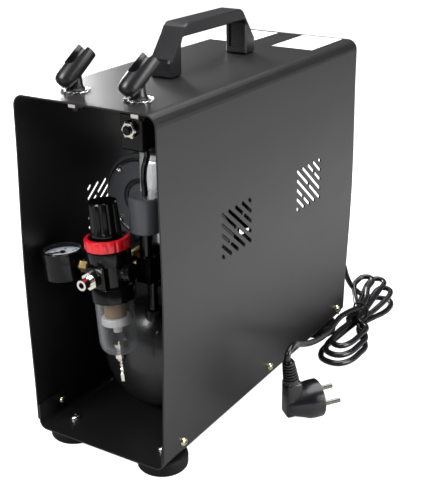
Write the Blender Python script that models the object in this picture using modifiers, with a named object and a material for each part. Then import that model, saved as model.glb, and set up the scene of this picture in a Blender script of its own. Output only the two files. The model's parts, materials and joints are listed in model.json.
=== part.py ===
"""Airbrush compressor: a small piston pump on an air tank, in a folded steel case.

Metres, +Z up. The front of the case faces -Y and the floor is Z = 0. Most places are given as
(x, back, up): across from the centre, behind the case's front edge, above the cover's lower edge.
"""

import math

import bmesh
import bpy
from mathutils import Matrix, Vector

# ---- Driving dimensions -------------------------------------------------------------------
GAP = 0.0003
COVER_WIDTH = 0.148
COVER_LENGTH = 0.382
COVER_HEIGHT = 0.320
COVER_BEND = 0.01075
SHEET = 0.0015
WALL_BOW = 0.003
TRAY_DROP = 0.0093
FOOT_HEIGHT = 0.014
OUTLET_REACH = 0.0155

COVER_BOTTOM = FOOT_HEIGHT + TRAY_DROP
CASE_FRONT = -(COVER_LENGTH - OUTLET_REACH) / 2
WALL = COVER_WIDTH / 2

# ---- Case fittings ------------------------------------------------------------------------
VENT_FRONTS = (0.0962, 0.2448)
VENT_LENGTH = 0.051
VENT_DEPTH = 0.042
VENT_TOP = 0.2087
VENT_PITCH = 0.010
VENT_SLOPE = 0.82
VENT_BREAK = 0.0064
SLOT_RADIUS = 0.0021
SIDE_SCREW_BACKS = (0.031, 0.197, 0.363)
SIDE_SCREW_UP = 0.007
SCREW_HOLE = 0.0023
FOOT_X = 0.052
FOOT_BACKS = (0.029, 0.353)
STEM_X = 0.033
STEM_BACK = 0.034
STEM_HOLE = 0.0043
HANDLE_BACK = 0.190
HANDLE_WIDTH = 0.024
HANDLE_RISE = 0.046
HANDLE_SCREW_REACH = 0.0665
GLAND_X = 0.058
GLAND_UP = 0.048

# ---- Airbrush holders ---------------------------------------------------------------------
HOLDER_PIVOT = 0.0205
HOLDER_LEAN = math.radians(45)
HOLDER_TURNS = {"left": math.radians(-20), "right": math.radians(-22)}
CUP_RADIUS = 0.0090
CUP_BORE = 0.0068
CUP_LENGTH = 0.039

# ---- Filter regulator, in its own leaning frame ---------------------------------------------
REGULATOR_AT = (0.0025, 0.026, 0.165)
REGULATOR_LEAN = math.radians(-5)
PORT_REACH = 0.0215
GAUGE_X = -0.054
GAUGE_RADIUS = 0.0195

# ---- Tank and pump --------------------------------------------------------------------------
TANK_RADIUS = 0.054
TANK_FRONT = 0.062
TANK_REAR = 0.345
TANK_UP = 0.050
TANK_WALL = 0.0018
MOTOR_X = -0.015
MOTOR_UP = 0.207
MOTOR_FRONT = 0.100
MOTOR_REAR = 0.160
MOTOR_RADIUS = 0.0425
CRANK_REAR = 0.198
CYLINDER_BACK = 0.180
STROKE = 0.010

# ---- Mains lead, (x, back, height above the floor) --------------------------------------------
CORD_RADIUS = 0.00325
LEAD_ROUTE = (
    (0.0580, 0.3760, 0.0713), (0.0580, 0.3860, 0.0713), (0.0580, 0.3950, 0.0713),
    (0.0580, 0.4010, 0.0706), (0.0580, 0.4080, 0.0678), (0.0580, 0.4135, 0.0635),
    (0.0580, 0.4175, 0.0583), (0.0583, 0.4202, 0.0520), (0.0600, 0.4225, 0.0440),
    (0.0630, 0.4270, 0.0360), (0.0670, 0.4330, 0.0295), (0.0715, 0.4400, 0.0258),
    (0.0760, 0.4480, 0.0246), (0.0800, 0.4560, 0.0246),
)
TAIL_ROUTE = (
    (0.1177, 0.1525, 0.0713), (0.1177, 0.1523, 0.0768), (0.1174, 0.1600, 0.0805),
    (0.1150, 0.1760, 0.0735), (0.1110, 0.1970, 0.0640), (0.1045, 0.2310, 0.0500),
    (0.0980, 0.2649, 0.0386), (0.0930, 0.2943, 0.0304), (0.0890, 0.3200, 0.0258),
    (0.0865, 0.3370, 0.0247), (0.0850, 0.3520, 0.0247),
)
HANK_OUTLINE = (
    (0.0840, 0.2930), (0.0920, 0.2830), (0.1010, 0.2795), (0.1110, 0.2795), (0.1205, 0.2840),
    (0.1250, 0.2970), (0.1235, 0.3170), (0.1190, 0.3350), (0.1125, 0.3510), (0.1075, 0.3700),
    (0.1070, 0.3870), (0.1095, 0.4020), (0.1080, 0.4200), (0.1010, 0.4390), (0.0950, 0.4620),
    (0.0860, 0.4780), (0.0760, 0.4740), (0.0690, 0.4550), (0.0670, 0.4300), (0.0740, 0.4060),
    (0.0790, 0.3880), (0.0795, 0.3730), (0.0800, 0.3430), (0.0790, 0.3110),
)
HANK_HEIGHT = 0.0210
PLUG_FACE = (0.1382, 0.1825, 0.0205)
PLUG_AXIS = Vector((0.62, 0.78, 0.05)).normalized()
PLUG_BOOT = Vector((0.0, -0.13, 0.99)).normalized()
PIN_LINE = Vector((0.742, -0.556, -0.375)).normalized()

# ---- Finishes: base colour, roughness, metallic, alpha ------------------------------------------
FINISHES = {
    "powder_coat": ((0.045, 0.045, 0.048), 0.42, 0.0, 1.0),
    "black_plastic": ((0.018, 0.018, 0.020), 0.45, 0.0, 1.0),
    "black_rubber": ((0.015, 0.015, 0.015), 0.75, 0.0, 1.0),
    "nickel": ((0.72, 0.70, 0.66), 0.22, 1.0, 1.0),
    "brass": ((0.72, 0.55, 0.25), 0.30, 1.0, 1.0),
    "red_plastic": ((0.75, 0.02, 0.03), 0.30, 0.0, 1.0),
    "clear_plastic": ((0.90, 0.92, 0.94), 0.05, 0.0, 0.3),
    "sintered": ((0.42, 0.31, 0.19), 0.80, 0.0, 1.0),
    "white_plastic": ((0.85, 0.85, 0.84), 0.40, 0.0, 1.0),
    "dial": ((0.62, 0.68, 0.76), 0.50, 0.0, 1.0),
    "tank_paint": ((0.060, 0.060, 0.062), 0.35, 0.0, 1.0),
    "aluminium": ((0.78, 0.79, 0.80), 0.28, 1.0, 1.0),
    "black_anodised": ((0.030, 0.030, 0.032), 0.35, 0.6, 1.0),
    "copper": ((0.75, 0.38, 0.22), 0.28, 1.0, 1.0),
    "steel": ((0.55, 0.55, 0.56), 0.30, 1.0, 1.0),
}


# ---- Scene and object helpers ---------------------------------------------------------------
def clear_scene():
    for obj in list(bpy.data.objects):
        bpy.data.objects.remove(obj, do_unlink=True)


def collection(name):
    made = bpy.data.collections.new(name)
    bpy.context.scene.collection.children.link(made)
    return made


def finish(name):
    if name in bpy.data.materials:
        return bpy.data.materials[name]
    colour, roughness, metallic, alpha = FINISHES[name]
    made = bpy.data.materials.new(name)
    made.use_nodes = True
    shader = made.node_tree.nodes["Principled BSDF"]
    shader.inputs["Base Color"].default_value = (*colour, 1.0)
    shader.inputs["Roughness"].default_value = roughness
    shader.inputs["Metallic"].default_value = metallic
    shader.inputs["Alpha"].default_value = alpha
    return made


def at(x, back, up):
    """World place of a point given across, behind the case front and above the cover's edge."""
    return Vector((x, CASE_FRONT + back, COVER_BOTTOM + up))


def on_floor(x, back, height):
    return Vector((x, CASE_FRONT + back, height))


def place(obj, location=(0, 0, 0), rotation=(0, 0, 0), parent=None):
    obj.location = location
    obj.rotation_euler = rotation
    obj.parent = parent
    return obj


def node(name, mesh, look):
    """A named part, with its own copy of the finish."""
    obj = bpy.data.objects.new(name, mesh)
    PARTS.objects.link(obj)
    mesh.materials.clear()
    mesh.materials.append(finish(look))
    mesh.shade_smooth()
    mesh.set_sharp_from_angle(angle=math.radians(35))
    return obj


def cutter(mesh, parent=None):
    obj = bpy.data.objects.new("cutter", mesh)
    CUTTERS.objects.link(obj)
    obj.hide_render = True
    obj.display_type = "WIRE"
    obj.parent = parent
    return obj


def combine(obj, mesh, operation):
    """Adds a Boolean whose other solid shares obj's own frame."""
    other = cutter(mesh)
    other.parent = obj.parent
    other.location = obj.location
    other.rotation_euler = obj.rotation_euler
    change = obj.modifiers.new(operation.lower(), "BOOLEAN")
    change.operation = operation
    change.object = other
    change.solver = "EXACT"
    return obj


def cut(obj, *meshes):
    for mesh in meshes:
        combine(obj, mesh, "DIFFERENCE")
    return obj


def join(obj, *meshes):
    for mesh in meshes:
        combine(obj, mesh, "UNION")
    return obj


def rounded(obj, width, segments=1):
    edge = obj.modifiers.new("rounded", "BEVEL")
    edge.width = width
    edge.segments = segments
    edge.limit_method = "ANGLE"
    return obj


# ---- Mesh helpers ---------------------------------------------------------------------------
def mesh_from(bm):
    mesh = bpy.data.meshes.new("shape")
    bm.to_mesh(mesh)
    bm.free()
    return mesh


def box(size, centre=(0, 0, 0)):
    bm = bmesh.new()
    bmesh.ops.create_cube(bm, size=1.0)
    bmesh.ops.scale(bm, vec=size, verts=bm.verts)
    bmesh.ops.translate(bm, vec=centre, verts=bm.verts)
    return mesh_from(bm)


def rod(start, end, radius, end_radius=None, segments=16):
    """A cylinder or cone from start to end."""
    start = Vector(start)
    run = Vector(end) - start
    bm = bmesh.new()
    bmesh.ops.create_cone(
        bm, cap_ends=True, segments=segments, radius1=radius,
        radius2=radius if end_radius is None else end_radius, depth=run.length,
    )
    turn = run.to_track_quat("Z", "Y").to_matrix().to_4x4()
    bmesh.ops.transform(bm, matrix=Matrix.Translation(start + run / 2) @ turn, verts=bm.verts)
    return mesh_from(bm)


def turned(profile, steps=24):
    """Mesh of a profile of (radius, z), top to bottom down its outer side, spun about Z."""
    mesh = bpy.data.meshes.new("profile")
    edges = [(i, i + 1) for i in range(len(profile) - 1)]
    if profile[0][0] > 0:
        edges.append((len(profile) - 1, 0))
    mesh.from_pydata([(radius, 0, z) for radius, z in profile], edges, [])
    obj = cutter(mesh)
    spin = obj.modifiers.new("spin", "SCREW")
    spin.steps = steps
    spin.render_steps = steps
    spin.use_merge_vertices = True
    spin.merge_threshold = 0.0001
    return taken(obj)


def taken(obj):
    """The evaluated mesh of a helper object, which is then removed."""
    graph = bpy.context.evaluated_depsgraph_get()
    mesh = bpy.data.meshes.new_from_object(obj.evaluated_get(graph), depsgraph=graph)
    bpy.data.objects.remove(obj, do_unlink=True)
    return mesh


def moved(mesh, matrix):
    mesh.transform(matrix)
    return mesh


def group(meshes):
    """Several separate solids in one mesh."""
    bm = bmesh.new()
    for mesh in meshes:
        bm.from_mesh(mesh)
    return mesh_from(bm)


def along_y(mesh):
    """Turns a shape made about Z so that its top faces +Y."""
    return moved(mesh, Matrix.Rotation(math.radians(-90), 4, "X"))


def outline(points, thickness):
    """A flat closed outline in XY, centred on Z = 0, with the thickness given."""
    curve = bpy.data.curves.new("outline", "CURVE")
    curve.dimensions = "2D"
    curve.fill_mode = "BOTH"
    curve.extrude = thickness / 2
    spline = curve.splines.new("POLY")
    spline.points.add(len(points) - 1)
    for target, point in zip(spline.points, points):
        target.co = (point[0], point[1], 0, 1)
    spline.use_cyclic_u = True
    obj = bpy.data.objects.new("outline", curve)
    CUTTERS.objects.link(obj)
    return welded(taken(obj))


def welded(mesh):
    bm = bmesh.new()
    bm.from_mesh(mesh)
    bmesh.ops.remove_doubles(bm, verts=bm.verts, dist=1e-6)
    return mesh_from(bm)


def spline_through(points, spacing):
    """Points about spacing apart on a smooth curve through the route's points."""
    route = [points[0], *points, points[-1]]
    dense = []
    for a, b, c, d in zip(route, route[1:], route[2:], route[3:]):
        for step in range(8):
            t = step / 8
            dense.append(
                0.5 * (2 * b + (c - a) * t + (2 * a - 5 * b + 4 * c - d) * t * t
                       + (3 * b - a - 3 * c + d) * t ** 3)
            )
    dense.append(points[-1])
    length = sum((q - p).length for p, q in zip(dense, dense[1:]))
    count = round(length / spacing)
    return evenly(dense, length / count, count)


def evenly(dense, spacing, count):
    """count + 1 points spacing apart along a dense line of points."""
    found = [dense[0]]
    gone = 0.0
    for p, q in zip(dense, dense[1:]):
        run = (q - p).length
        while len(found) < count and gone + run >= len(found) * spacing:
            found.append(p.lerp(q, (len(found) * spacing - gone) / run))
        gone += run
    return [*found, dense[-1]]


def tube(name, points, radius, look, resolution=2):
    curve = bpy.data.curves.new(name, "CURVE")
    curve.dimensions = "3D"
    curve.bevel_depth = radius
    curve.bevel_resolution = resolution
    curve.use_fill_caps = True
    spline = curve.splines.new("POLY")
    spline.points.add(len(points) - 1)
    for target, point in zip(spline.points, points):
        target.co = (*point, 1)
    curve.materials.append(finish(look))
    obj = bpy.data.objects.new(name, curve)
    PARTS.objects.link(obj)
    return obj


def hexagon(across_flats, bottom, top):
    radius = across_flats / math.sqrt(3)
    return rod((0, 0, bottom), (0, 0, top), radius, segments=6)


# ---- Case -----------------------------------------------------------------------------------
def cover_profile():
    """Outside of the cover as seen from the front: up the left wall, over and down."""
    half = []
    straight = COVER_HEIGHT - COVER_BEND
    for step in range(9):
        height = straight * step / 8
        bow = WALL_BOW * math.sin(math.pi * step / 8) ** 2
        half.append((WALL + bow, height))
    for step in range(1, 7):
        angle = math.radians(15 * step)
        half.append((WALL - COVER_BEND * (1 - math.cos(angle)),
                     straight + COVER_BEND * math.sin(angle)))
    return [(-x, z) for x, z in half] + [(x, z) for x, z in reversed(half)]


def folded_sheet(profile, thickness, inward):
    """A sheet folded to a profile of (x, up), running the length of the case."""
    bm = bmesh.new()
    ends = [[bm.verts.new(at(x, back, up)) for x, up in profile] for back in (0, COVER_LENGTH)]
    bmesh.ops.bridge_loops(bm, edges=[
        bm.edges.new(pair) for row in ends for pair in zip(row, row[1:])
    ])
    bmesh.ops.recalc_face_normals(bm, faces=bm.faces)
    mesh = mesh_from(bm)
    helper = cutter(mesh)
    shell = helper.modifiers.new("thickness", "SOLIDIFY")
    shell.thickness = thickness
    shell.offset = inward
    shell.use_even_offset = True
    return taken(helper)


def facing_out(mesh):
    bm = bmesh.new()
    bm.from_mesh(mesh)
    bmesh.ops.recalc_face_normals(bm, faces=bm.faces)
    return mesh_from(bm)


def slot(start, end, x):
    """A round-ended slot cutter across a side wall, between two (back, up) points."""
    a = at(x, *start)
    b = at(x, *end)
    middle = (a + b) / 2
    half = (b - a).length / 2
    bm = bmesh.new()
    bmesh.ops.create_cone(bm, cap_ends=True, segments=6, radius1=SLOT_RADIUS,
                          radius2=SLOT_RADIUS, depth=0.020)
    bmesh.ops.rotate(bm, matrix=Matrix.Rotation(math.radians(30), 3, "Z"), verts=bm.verts)
    for vert in bm.verts:
        vert.co.x += math.copysign(half, vert.co.x)
    across = Matrix.Rotation(math.radians(90), 4, "Y") @ Matrix.Rotation(math.radians(90), 4, "Z")
    slant = Matrix.Rotation(math.atan2(b.z - a.z, b.y - a.y), 4, "X")
    bmesh.ops.transform(bm, matrix=Matrix.Translation(middle) @ slant @ across, verts=bm.verts)
    return mesh_from(bm)


def vent_lines():
    """Centre lines of one vent's slots as ((along, down), (along, down)) from its high corner."""
    lines = []
    for row in range(-4, 5):
        along = max(0, -row) * VENT_PITCH / VENT_SLOPE
        down = max(0, row) * VENT_PITCH
        run = min(VENT_LENGTH - along, (VENT_DEPTH - down) / VENT_SLOPE)
        spans = [(0, run)]
        if row in (-2, 0, 2):
            gap = VENT_BREAK / math.hypot(1, VENT_SLOPE)
            spans = [(0, (run - gap) / 2), ((run + gap) / 2, run)]
        lines += [tuple((along + s, down + s * VENT_SLOPE) for s in span) for span in spans]
    return lines


def vent_slots(side):
    slots = []
    for front in VENT_FRONTS:
        for line in vent_lines():
            if side > 0:
                ends = [(front + along, VENT_TOP - down) for along, down in line]
            else:
                ends = [(front + VENT_LENGTH - along, VENT_TOP - down) for along, down in line]
            slots.append(slot(*ends, side * WALL))
    return group(slots)


def screw_places():
    """Side screws, as (side, back), for the cover, the tray and the screws themselves."""
    return [(side, back) for side in (-1, 1) for back in SIDE_SCREW_BACKS]


def side_holes():
    return group([
        rod(at(side * (WALL - 0.010), back, SIDE_SCREW_UP),
            at(side * (WALL + 0.010), back, SIDE_SCREW_UP), SCREW_HOLE, segments=10)
        for side, back in screw_places()
    ])


def top_holes():
    stems = [rod(at(side * STEM_X, STEM_BACK, 0.310), at(side * STEM_X, STEM_BACK, 0.330),
                 STEM_HOLE, segments=12) for side in (-1, 1)]
    handle = [rod(at(0, HANDLE_BACK + side * HANDLE_SCREW_REACH, 0.310),
                  at(0, HANDLE_BACK + side * HANDLE_SCREW_REACH, 0.330),
                  SCREW_HOLE, segments=10) for side in (-1, 1)]
    return group(stems + handle)


def make_cover():
    shell = facing_out(folded_sheet(cover_profile(), SHEET, -1))
    cover = node("cover", shell, "powder_coat")
    cut(cover, vent_slots(-1), vent_slots(1), side_holes(), top_holes())


def tray_profile():
    """Outside of the tray from the front: down the left flange, across and up."""
    side = WALL - SHEET - GAP
    bend = 0.008
    half = [(side, 0.016)]
    for step in range(7):
        angle = math.radians(15 * step)
        half.append((side - bend * (1 - math.cos(angle)), bend - TRAY_DROP - bend * math.sin(angle)))
    return [(-x, z) for x, z in half] + [(x, z) for x, z in reversed(half)]


def make_tray():
    shell = facing_out(folded_sheet(tray_profile(), SHEET, -1))
    tray = node("base_tray", shell, "powder_coat")
    tab_top = GLAND_UP + 0.014
    tab = box((0.032, SHEET, tab_top + TRAY_DROP - 0.0005),
              at(GLAND_X - 0.004, 0.379, (tab_top - TRAY_DROP + 0.0005) / 2))
    join(tray, tab)
    join(tray, side_screws(), foot_bolts())
    cut(tray, rod(at(GLAND_X, 0.370, GLAND_UP), at(GLAND_X, 0.390, GLAND_UP), 0.0055))


def screw(side=1):
    """Button-head screw about Z, its head's flat face on Z = 0 and facing down when side is -1."""
    shape = turned(((0, 0.0024), (0.0022, 0.0021), (0.0042, 0.0003), (0.0042, 0), (0.0020, 0),
                    (0.0020, -0.0080), (0, -0.0080)), 12)
    return shape if side > 0 else moved(shape, Matrix.Rotation(math.pi, 4, "X"))


def side_screws():
    screws = []
    for side, back in screw_places():
        turn = Matrix.Rotation(math.radians(90 * side), 4, "Y")
        seat = at(side * (WALL + GAP), back, SIDE_SCREW_UP)
        screws.append(moved(screw(), Matrix.Translation(seat) @ turn))
    return group(screws)


def make_feet():
    top = FOOT_HEIGHT - GAP
    profile = ((0.0030, top), (0.0220, top), (0.0240, top - 0.002), (0.0240, 0.003),
               (0.0225, 0), (0.0080, 0), (0.0080, 0.0055), (0.0030, 0.0055))
    for side, hand in ((-1, "left"), (1, "right")):
        for back, end in zip(FOOT_BACKS, ("front", "rear")):
            foot = node(f"foot_{end}_{hand}", turned(profile, 18), "black_rubber")
            place(foot, on_floor(side * FOOT_X, back, 0))


def foot_bolts():
    """Bolts through the tray's floor, each with the nut that holds a foot from below."""
    head = FOOT_HEIGHT + SHEET
    profile = ((0, head + 0.0034), (0.0035, head + 0.0030), (0.0048, head + 0.0014),
               (0.0048, head - 0.0002), (0.0025, head - 0.0002), (0.0025, 0.0052),
               (0.0045, 0.0052), (0.0045, 0.0012), (0, 0.0012))
    return group([
        moved(turned(profile, 12), Matrix.Translation(on_floor(side * FOOT_X, back, 0)))
        for side in (-1, 1) for back in FOOT_BACKS
    ])


def handle_outline():
    """Side view of the handle, as (along the case, up from its base)."""
    outer = [(0.0760, 0.0), (0.0760, 0.0150), (0.0560, 0.0400), (0.0530, 0.0440),
             (0.0480, HANDLE_RISE)]
    inner = [(0.0520, 0.0345), (0.0565, 0.0335), (0.0580, 0.0300), (0.0580, 0.0)]
    mirrored = [(-x, z) for x, z in reversed(outer)] + [(-x, z) for x, z in reversed(inner)]
    return outer + mirrored + inner


def make_handle():
    shape = outline(handle_outline(), HANDLE_WIDTH)
    upright = Matrix.Rotation(math.radians(90), 4, "Z") @ Matrix.Rotation(math.radians(90), 4, "X")
    handle = node("handle", moved(shape, upright), "black_plastic")
    place(handle, at(0, HANDLE_BACK, COVER_HEIGHT + GAP))
    rounded(handle, 0.0014)
    recesses = []
    for side in (-1, 1):
        recesses.append(box((0.016, 0.006, 0.022), (0, side * 0.0775, 0.0165)))
        recesses.append(box((0.016, 0.008, 0.022), (0, side * 0.0565, 0.0175)))
    cut(handle, group(recesses))
    screws = [moved(screw(-1), Matrix.Translation((0, side * HANDLE_SCREW_REACH, -SHEET - 2 * GAP)))
              for side in (-1, 1)]
    join(handle, group(screws))


# ---- Airbrush holders -----------------------------------------------------------------------
def holder_neck():
    """Tapered neck and threaded stud, about the swivel axis from the panel's top face."""
    return turned(((0, 0.0150), (0.0059, 0.0150), (0.0062, 0.0090), (0.0078, 0.0030),
                   (0.0088, 0.0018), (0.0038, 0.0018), (0.0038, -0.0165), (0, -0.0165)), 16)


def cup_frame():
    lean = Matrix.Rotation(-HOLDER_LEAN, 4, "X")
    return Matrix.Translation((0, 0, HOLDER_PIVOT)) @ lean


def cup_shell():
    """Closed cup with a rounded lower end."""
    half = CUP_LENGTH / 2
    profile = ((0, half), (CUP_RADIUS, half), (CUP_RADIUS, 0.009 - half),
               (CUP_RADIUS * 0.87, 0.0045 - half), (CUP_RADIUS * 0.5, 0.0012 - half), (0, -half))
    return moved(turned(profile, 20), cup_frame())


def cup_hollow():
    """Bore from the top end, and the slot for the airbrush."""
    half = CUP_LENGTH / 2
    bore = rod((0, 0, -0.0035), (0, 0, half + 0.002), CUP_BORE, segments=18)
    mouth = rod((0, -0.020, 0.003), (0, 0, 0.003), 0.0062, segments=16)
    slit = box((0.0118, 0.020, 0.024), (0, -0.0101, 0.0153))
    return [moved(mesh, cup_frame()) for mesh in (bore, mouth, slit)]


def make_holders():
    for side, hand in ((-1, "left"), (1, "right")):
        holder = node(f"holder_{hand}", holder_neck(), "black_plastic")
        place(holder, at(side * STEM_X, STEM_BACK, COVER_HEIGHT), (0, 0, HOLDER_TURNS[hand]))
        join(holder, cup_shell())
        cut(holder, *cup_hollow())


def star_ring(teeth, outer, root, hole, thickness):
    bm = bmesh.new()
    rim = bmesh.ops.create_circle(bm, segments=2 * teeth, radius=outer)["verts"]
    for index, vert in enumerate(rim):
        if index % 2:
            vert.co *= root / outer
    bore = bmesh.ops.create_circle(bm, segments=2 * teeth, radius=hole)["verts"]
    edges = {edge for vert in rim + bore for edge in vert.link_edges}
    ring = bmesh.ops.bridge_loops(bm, edges=list(edges))["faces"]
    lifted = bmesh.ops.extrude_face_region(bm, geom=ring)["geom"]
    top = [item for item in lifted if isinstance(item, bmesh.types.BMVert)]
    bmesh.ops.translate(bm, vec=(0, 0, thickness), verts=top)
    bmesh.ops.recalc_face_normals(bm, faces=bm.faces)
    return mesh_from(bm)


def make_holder_hardware():
    for side, hand in ((-1, "left"), (1, "right")):
        washer = node(f"star_washer_{hand}", star_ring(12, 0.0130, 0.0112, 0.0045, 0.0012), "nickel")
        place(washer, at(side * STEM_X, STEM_BACK, COVER_HEIGHT + GAP))
        nut = node(f"holder_nut_{hand}", hexagon(0.013, -0.0160, 0), "nickel")
        place(nut, at(side * STEM_X, STEM_BACK, COVER_HEIGHT - SHEET - GAP))
        cut(nut, rod((0, 0, -0.019), (0, 0, 0.003), 0.0042, segments=12))


# ---- Filter regulator -------------------------------------------------------------------------
def in_regulator(name, mesh, look, location=(0, 0, 0), rotation=(0, 0, 0)):
    return place(node(name, mesh, look), location, rotation, REGULATOR)


def make_regulator_frame():
    frame = bpy.data.objects.new("regulator_axis", None)
    PARTS.objects.link(frame)
    return place(frame, at(*REGULATOR_AT), (0, REGULATOR_LEAN, 0))


def make_regulator_body():
    core = turned(((0, 0.0210), (0.0195, 0.0210), (0.0200, 0.0190), (0.0200, 0.0085),
                   (0.0170, 0.0085), (0.0170, -0.0120), (0.0205, -0.0135), (0.0205, -0.0265),
                   (0.0182, -0.0265), (0.0182, -0.0180), (0, -0.0180)), 22)
    body = in_regulator("regulator_body", core, "black_anodised")
    join(body, rod((-PORT_REACH, 0, 0), (PORT_REACH, 0, 0), 0.0092, segments=20),
         box((0.018, 2 * PORT_REACH, 0.021), (0, 0, -0.0010)))
    bores = [rod((0.012 * x, 0.012 * y, 0), (0.030 * x, 0.030 * y, 0), 0.0050, segments=12)
             for x, y in ((1, 0), (-1, 0), (0, 1), (0, -1))]
    cut(body, group(bores), rod((0, 0, 0.012), (0, 0, 0.030), 0.0042, segments=12))


def make_regulator_top():
    bonnet = turned(((0.0034, 0.0315), (0.0155, 0.0315), (0.0166, 0.0304), (0.0166, 0.0213),
                     (0.0034, 0.0213)), 24)
    in_regulator("regulator_bonnet", bonnet, "black_plastic")
    ring = turned(((0.0170, 0.0318), (0.0197, 0.0318), (0.0205, 0.0308), (0.0205, 0.0223),
                   (0.0197, 0.0213), (0.0170, 0.0213)), 26)
    in_regulator("lock_ring", ring, "red_plastic")
    knob = turned(((0, 0.0645), (0.0118, 0.0645), (0.0130, 0.0630), (0.0136, 0.0420),
                   (0.0143, 0.0332), (0.0033, 0.0332), (0.0033, 0.0600), (0, 0.0600)), 24)
    in_regulator("pressure_knob", knob, "black_plastic")
    screw = turned(((0, 0.0595), (0.0030, 0.0595), (0.0030, 0.0140), (0, 0.0140)), 12)
    in_regulator("adjusting_screw", screw, "steel")


def make_ports():
    reach = PORT_REACH + GAP
    toward_front = (math.radians(90), 0, 0)
    outlet = in_regulator("outlet_fitting", hexagon(0.0143, reach, reach + 0.0092), "nickel",
                          rotation=toward_front)
    join(outlet, rod((0, 0, reach - 0.006), (0, 0, reach + 0.002), 0.0046),
         rod((0, 0, reach + 0.008), (0, 0, 0.0260 + OUTLET_REACH), 0.0048))
    cut(outlet, rod((0, 0, 0.014), (0, 0, 0.050), 0.0028, segments=12))
    plug = in_regulator("port_plug", turned(((0, reach + 0.0030), (0.0075, reach + 0.0030),
                        (0.0085, reach + 0.0020), (0.0085, reach), (0.0046, reach),
                        (0.0046, reach - 0.005), (0, reach - 0.005)), 20), "black_plastic",
                        rotation=(0, math.radians(90), 0))
    cut(plug, hexagon(0.0060, reach - 0.002, reach + 0.006))
    coupling = in_regulator("inlet_coupling", hexagon(0.0130, 0.0360, 0.0508), "brass",
                            rotation=(math.radians(-90), 0, 0))
    join(coupling, rod((0, 0, reach - 0.005), (0, 0, 0.0370), 0.0046))
    stem = in_regulator("gauge_stem", hexagon(0.0110, reach, 0.0318), "brass",
                        rotation=(0, math.radians(-90), 0))
    join(stem, rod((0, 0, reach - 0.005), (0, 0, reach + 0.001), 0.0046))


def make_gauge():
    centre = (GAUGE_X, 0, 0)
    case = turned(((0, 0.0078), (0.0176, 0.0078), (0.0176, 0.0135), (GAUGE_RADIUS, 0.0135),
                   (GAUGE_RADIUS, -0.0120), (0.0180, -0.0135), (0, -0.0135)), 32)
    case = in_regulator("gauge_case", case, "black_plastic", centre)
    join(case, rod((0.0170, 0, 0), (0.0219, 0, 0), 0.0052, segments=12))
    in_regulator("gauge_dial", turned(((0, 0.0090), (0.0172, 0.0090), (0.0172, 0.0081),
                                       (0, 0.0081)), 32), "dial", centre)
    zero = math.radians(225)
    hub = turned(((0, 0.0110), (0.0022, 0.0110), (0.0022, 0.0094), (0, 0.0094)), 12)
    needle = in_regulator("gauge_needle", hub, "black_plastic", centre, (0, 0, zero))
    join(needle, box((0.0165, 0.0012, 0.0008), (0.0052, 0, 0.0102)))


def make_bowl():
    bowl = turned(((0.0156, -0.0240), (0.0176, -0.0240), (0.0176, -0.0660), (0.0168, -0.0720),
                   (0.0140, -0.0770), (0.0100, -0.0800), (0.0040, -0.0810), (0.0040, -0.0780),
                   (0.0090, -0.0775), (0.0125, -0.0745), (0.0148, -0.0700), (0.0156, -0.0655)), 22)
    in_regulator("filter_bowl", bowl, "clear_plastic")
    element = turned(((0, -0.0183), (0.0102, -0.0183), (0.0102, -0.0440), (0, -0.0440)), 20)
    in_regulator("filter_element", element, "sintered")
    baffle = turned(((0, -0.0443), (0.0125, -0.0443), (0.0137, -0.0460), (0.0137, -0.0510),
                     (0.0122, -0.0510), (0.0110, -0.0480), (0.0040, -0.0480), (0.0040, -0.0600),
                     (0, -0.0600)), 20)
    in_regulator("filter_baffle", baffle, "white_plastic")
    drain = turned(((0.0016, -0.0720), (0.0050, -0.0720), (0.0050, -0.0750), (0.0037, -0.0750),
                    (0.0037, -0.0815), (0.0052, -0.0815), (0.0052, -0.0860), (0.0040, -0.0890),
                    (0.0016, -0.0890)), 16)
    in_regulator("drain_body", drain, "nickel")
    pin = turned(((0, -0.0700), (0.0013, -0.0700), (0.0013, -0.0915), (0.0024, -0.0925),
                  (0.0016, -0.0965), (0.0026, -0.0975), (0.0018, -0.1015), (0.0026, -0.1025),
                  (0.0022, -0.1100), (0, -0.1100)), 12)
    in_regulator("drain_pin", pin, "nickel")


def make_manifold():
    """Block on the tank that feeds the regulator and carries the pressure switch."""
    block = node("manifold_block", box((0.0420, 0.0100, 0.0310), at(0.0130, 0.0821, 0.1605)),
                 "black_anodised")
    join(block, box((0.0150, 0.0450, 0.0240), at(0.0265, 0.0646, 0.1630)),
         rod(at(0.0250, 0.0500, 0.170), at(0.0250, 0.0500, 0.1982), 0.0060),
         rod(at(0.0080, 0.0820, 0.1048), at(0.0080, 0.0820, 0.150), 0.0050))
    drum = turned(((0, 0.0330), (0.0120, 0.0330), (0.0145, 0.0300), (0.0145, 0.0020),
                   (0.0130, 0), (0, 0)), 24)
    place(node("pressure_switch", drum, "black_plastic"), at(0.0250, 0.0500, 0.1985))


# ---- Tank -------------------------------------------------------------------------------------
def tank_profile(radius, dome, front, rear):
    """(radius, z) of a tank with flattened dome ends, rear end first."""
    steps = 5
    arc = [(radius * math.sin(math.radians(90 * i / steps)),
            dome * math.cos(math.radians(90 * i / steps))) for i in range(steps + 1)]
    rear_end = [(r, rear - dome + z) for r, z in arc]
    front_end = [(r, front + dome - z) for r, z in reversed(arc)]
    rear_end[0] = (0, rear)
    front_end[-1] = (0, front)
    return rear_end + front_end


def tank_shape(inset):
    radius = TANK_RADIUS - inset
    profile = tank_profile(radius, 0.026 - inset, TANK_FRONT + inset, TANK_REAR - inset)
    return moved(along_y(turned(profile, 22)), Matrix.Translation(at(0, 0, TANK_UP)))


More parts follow.
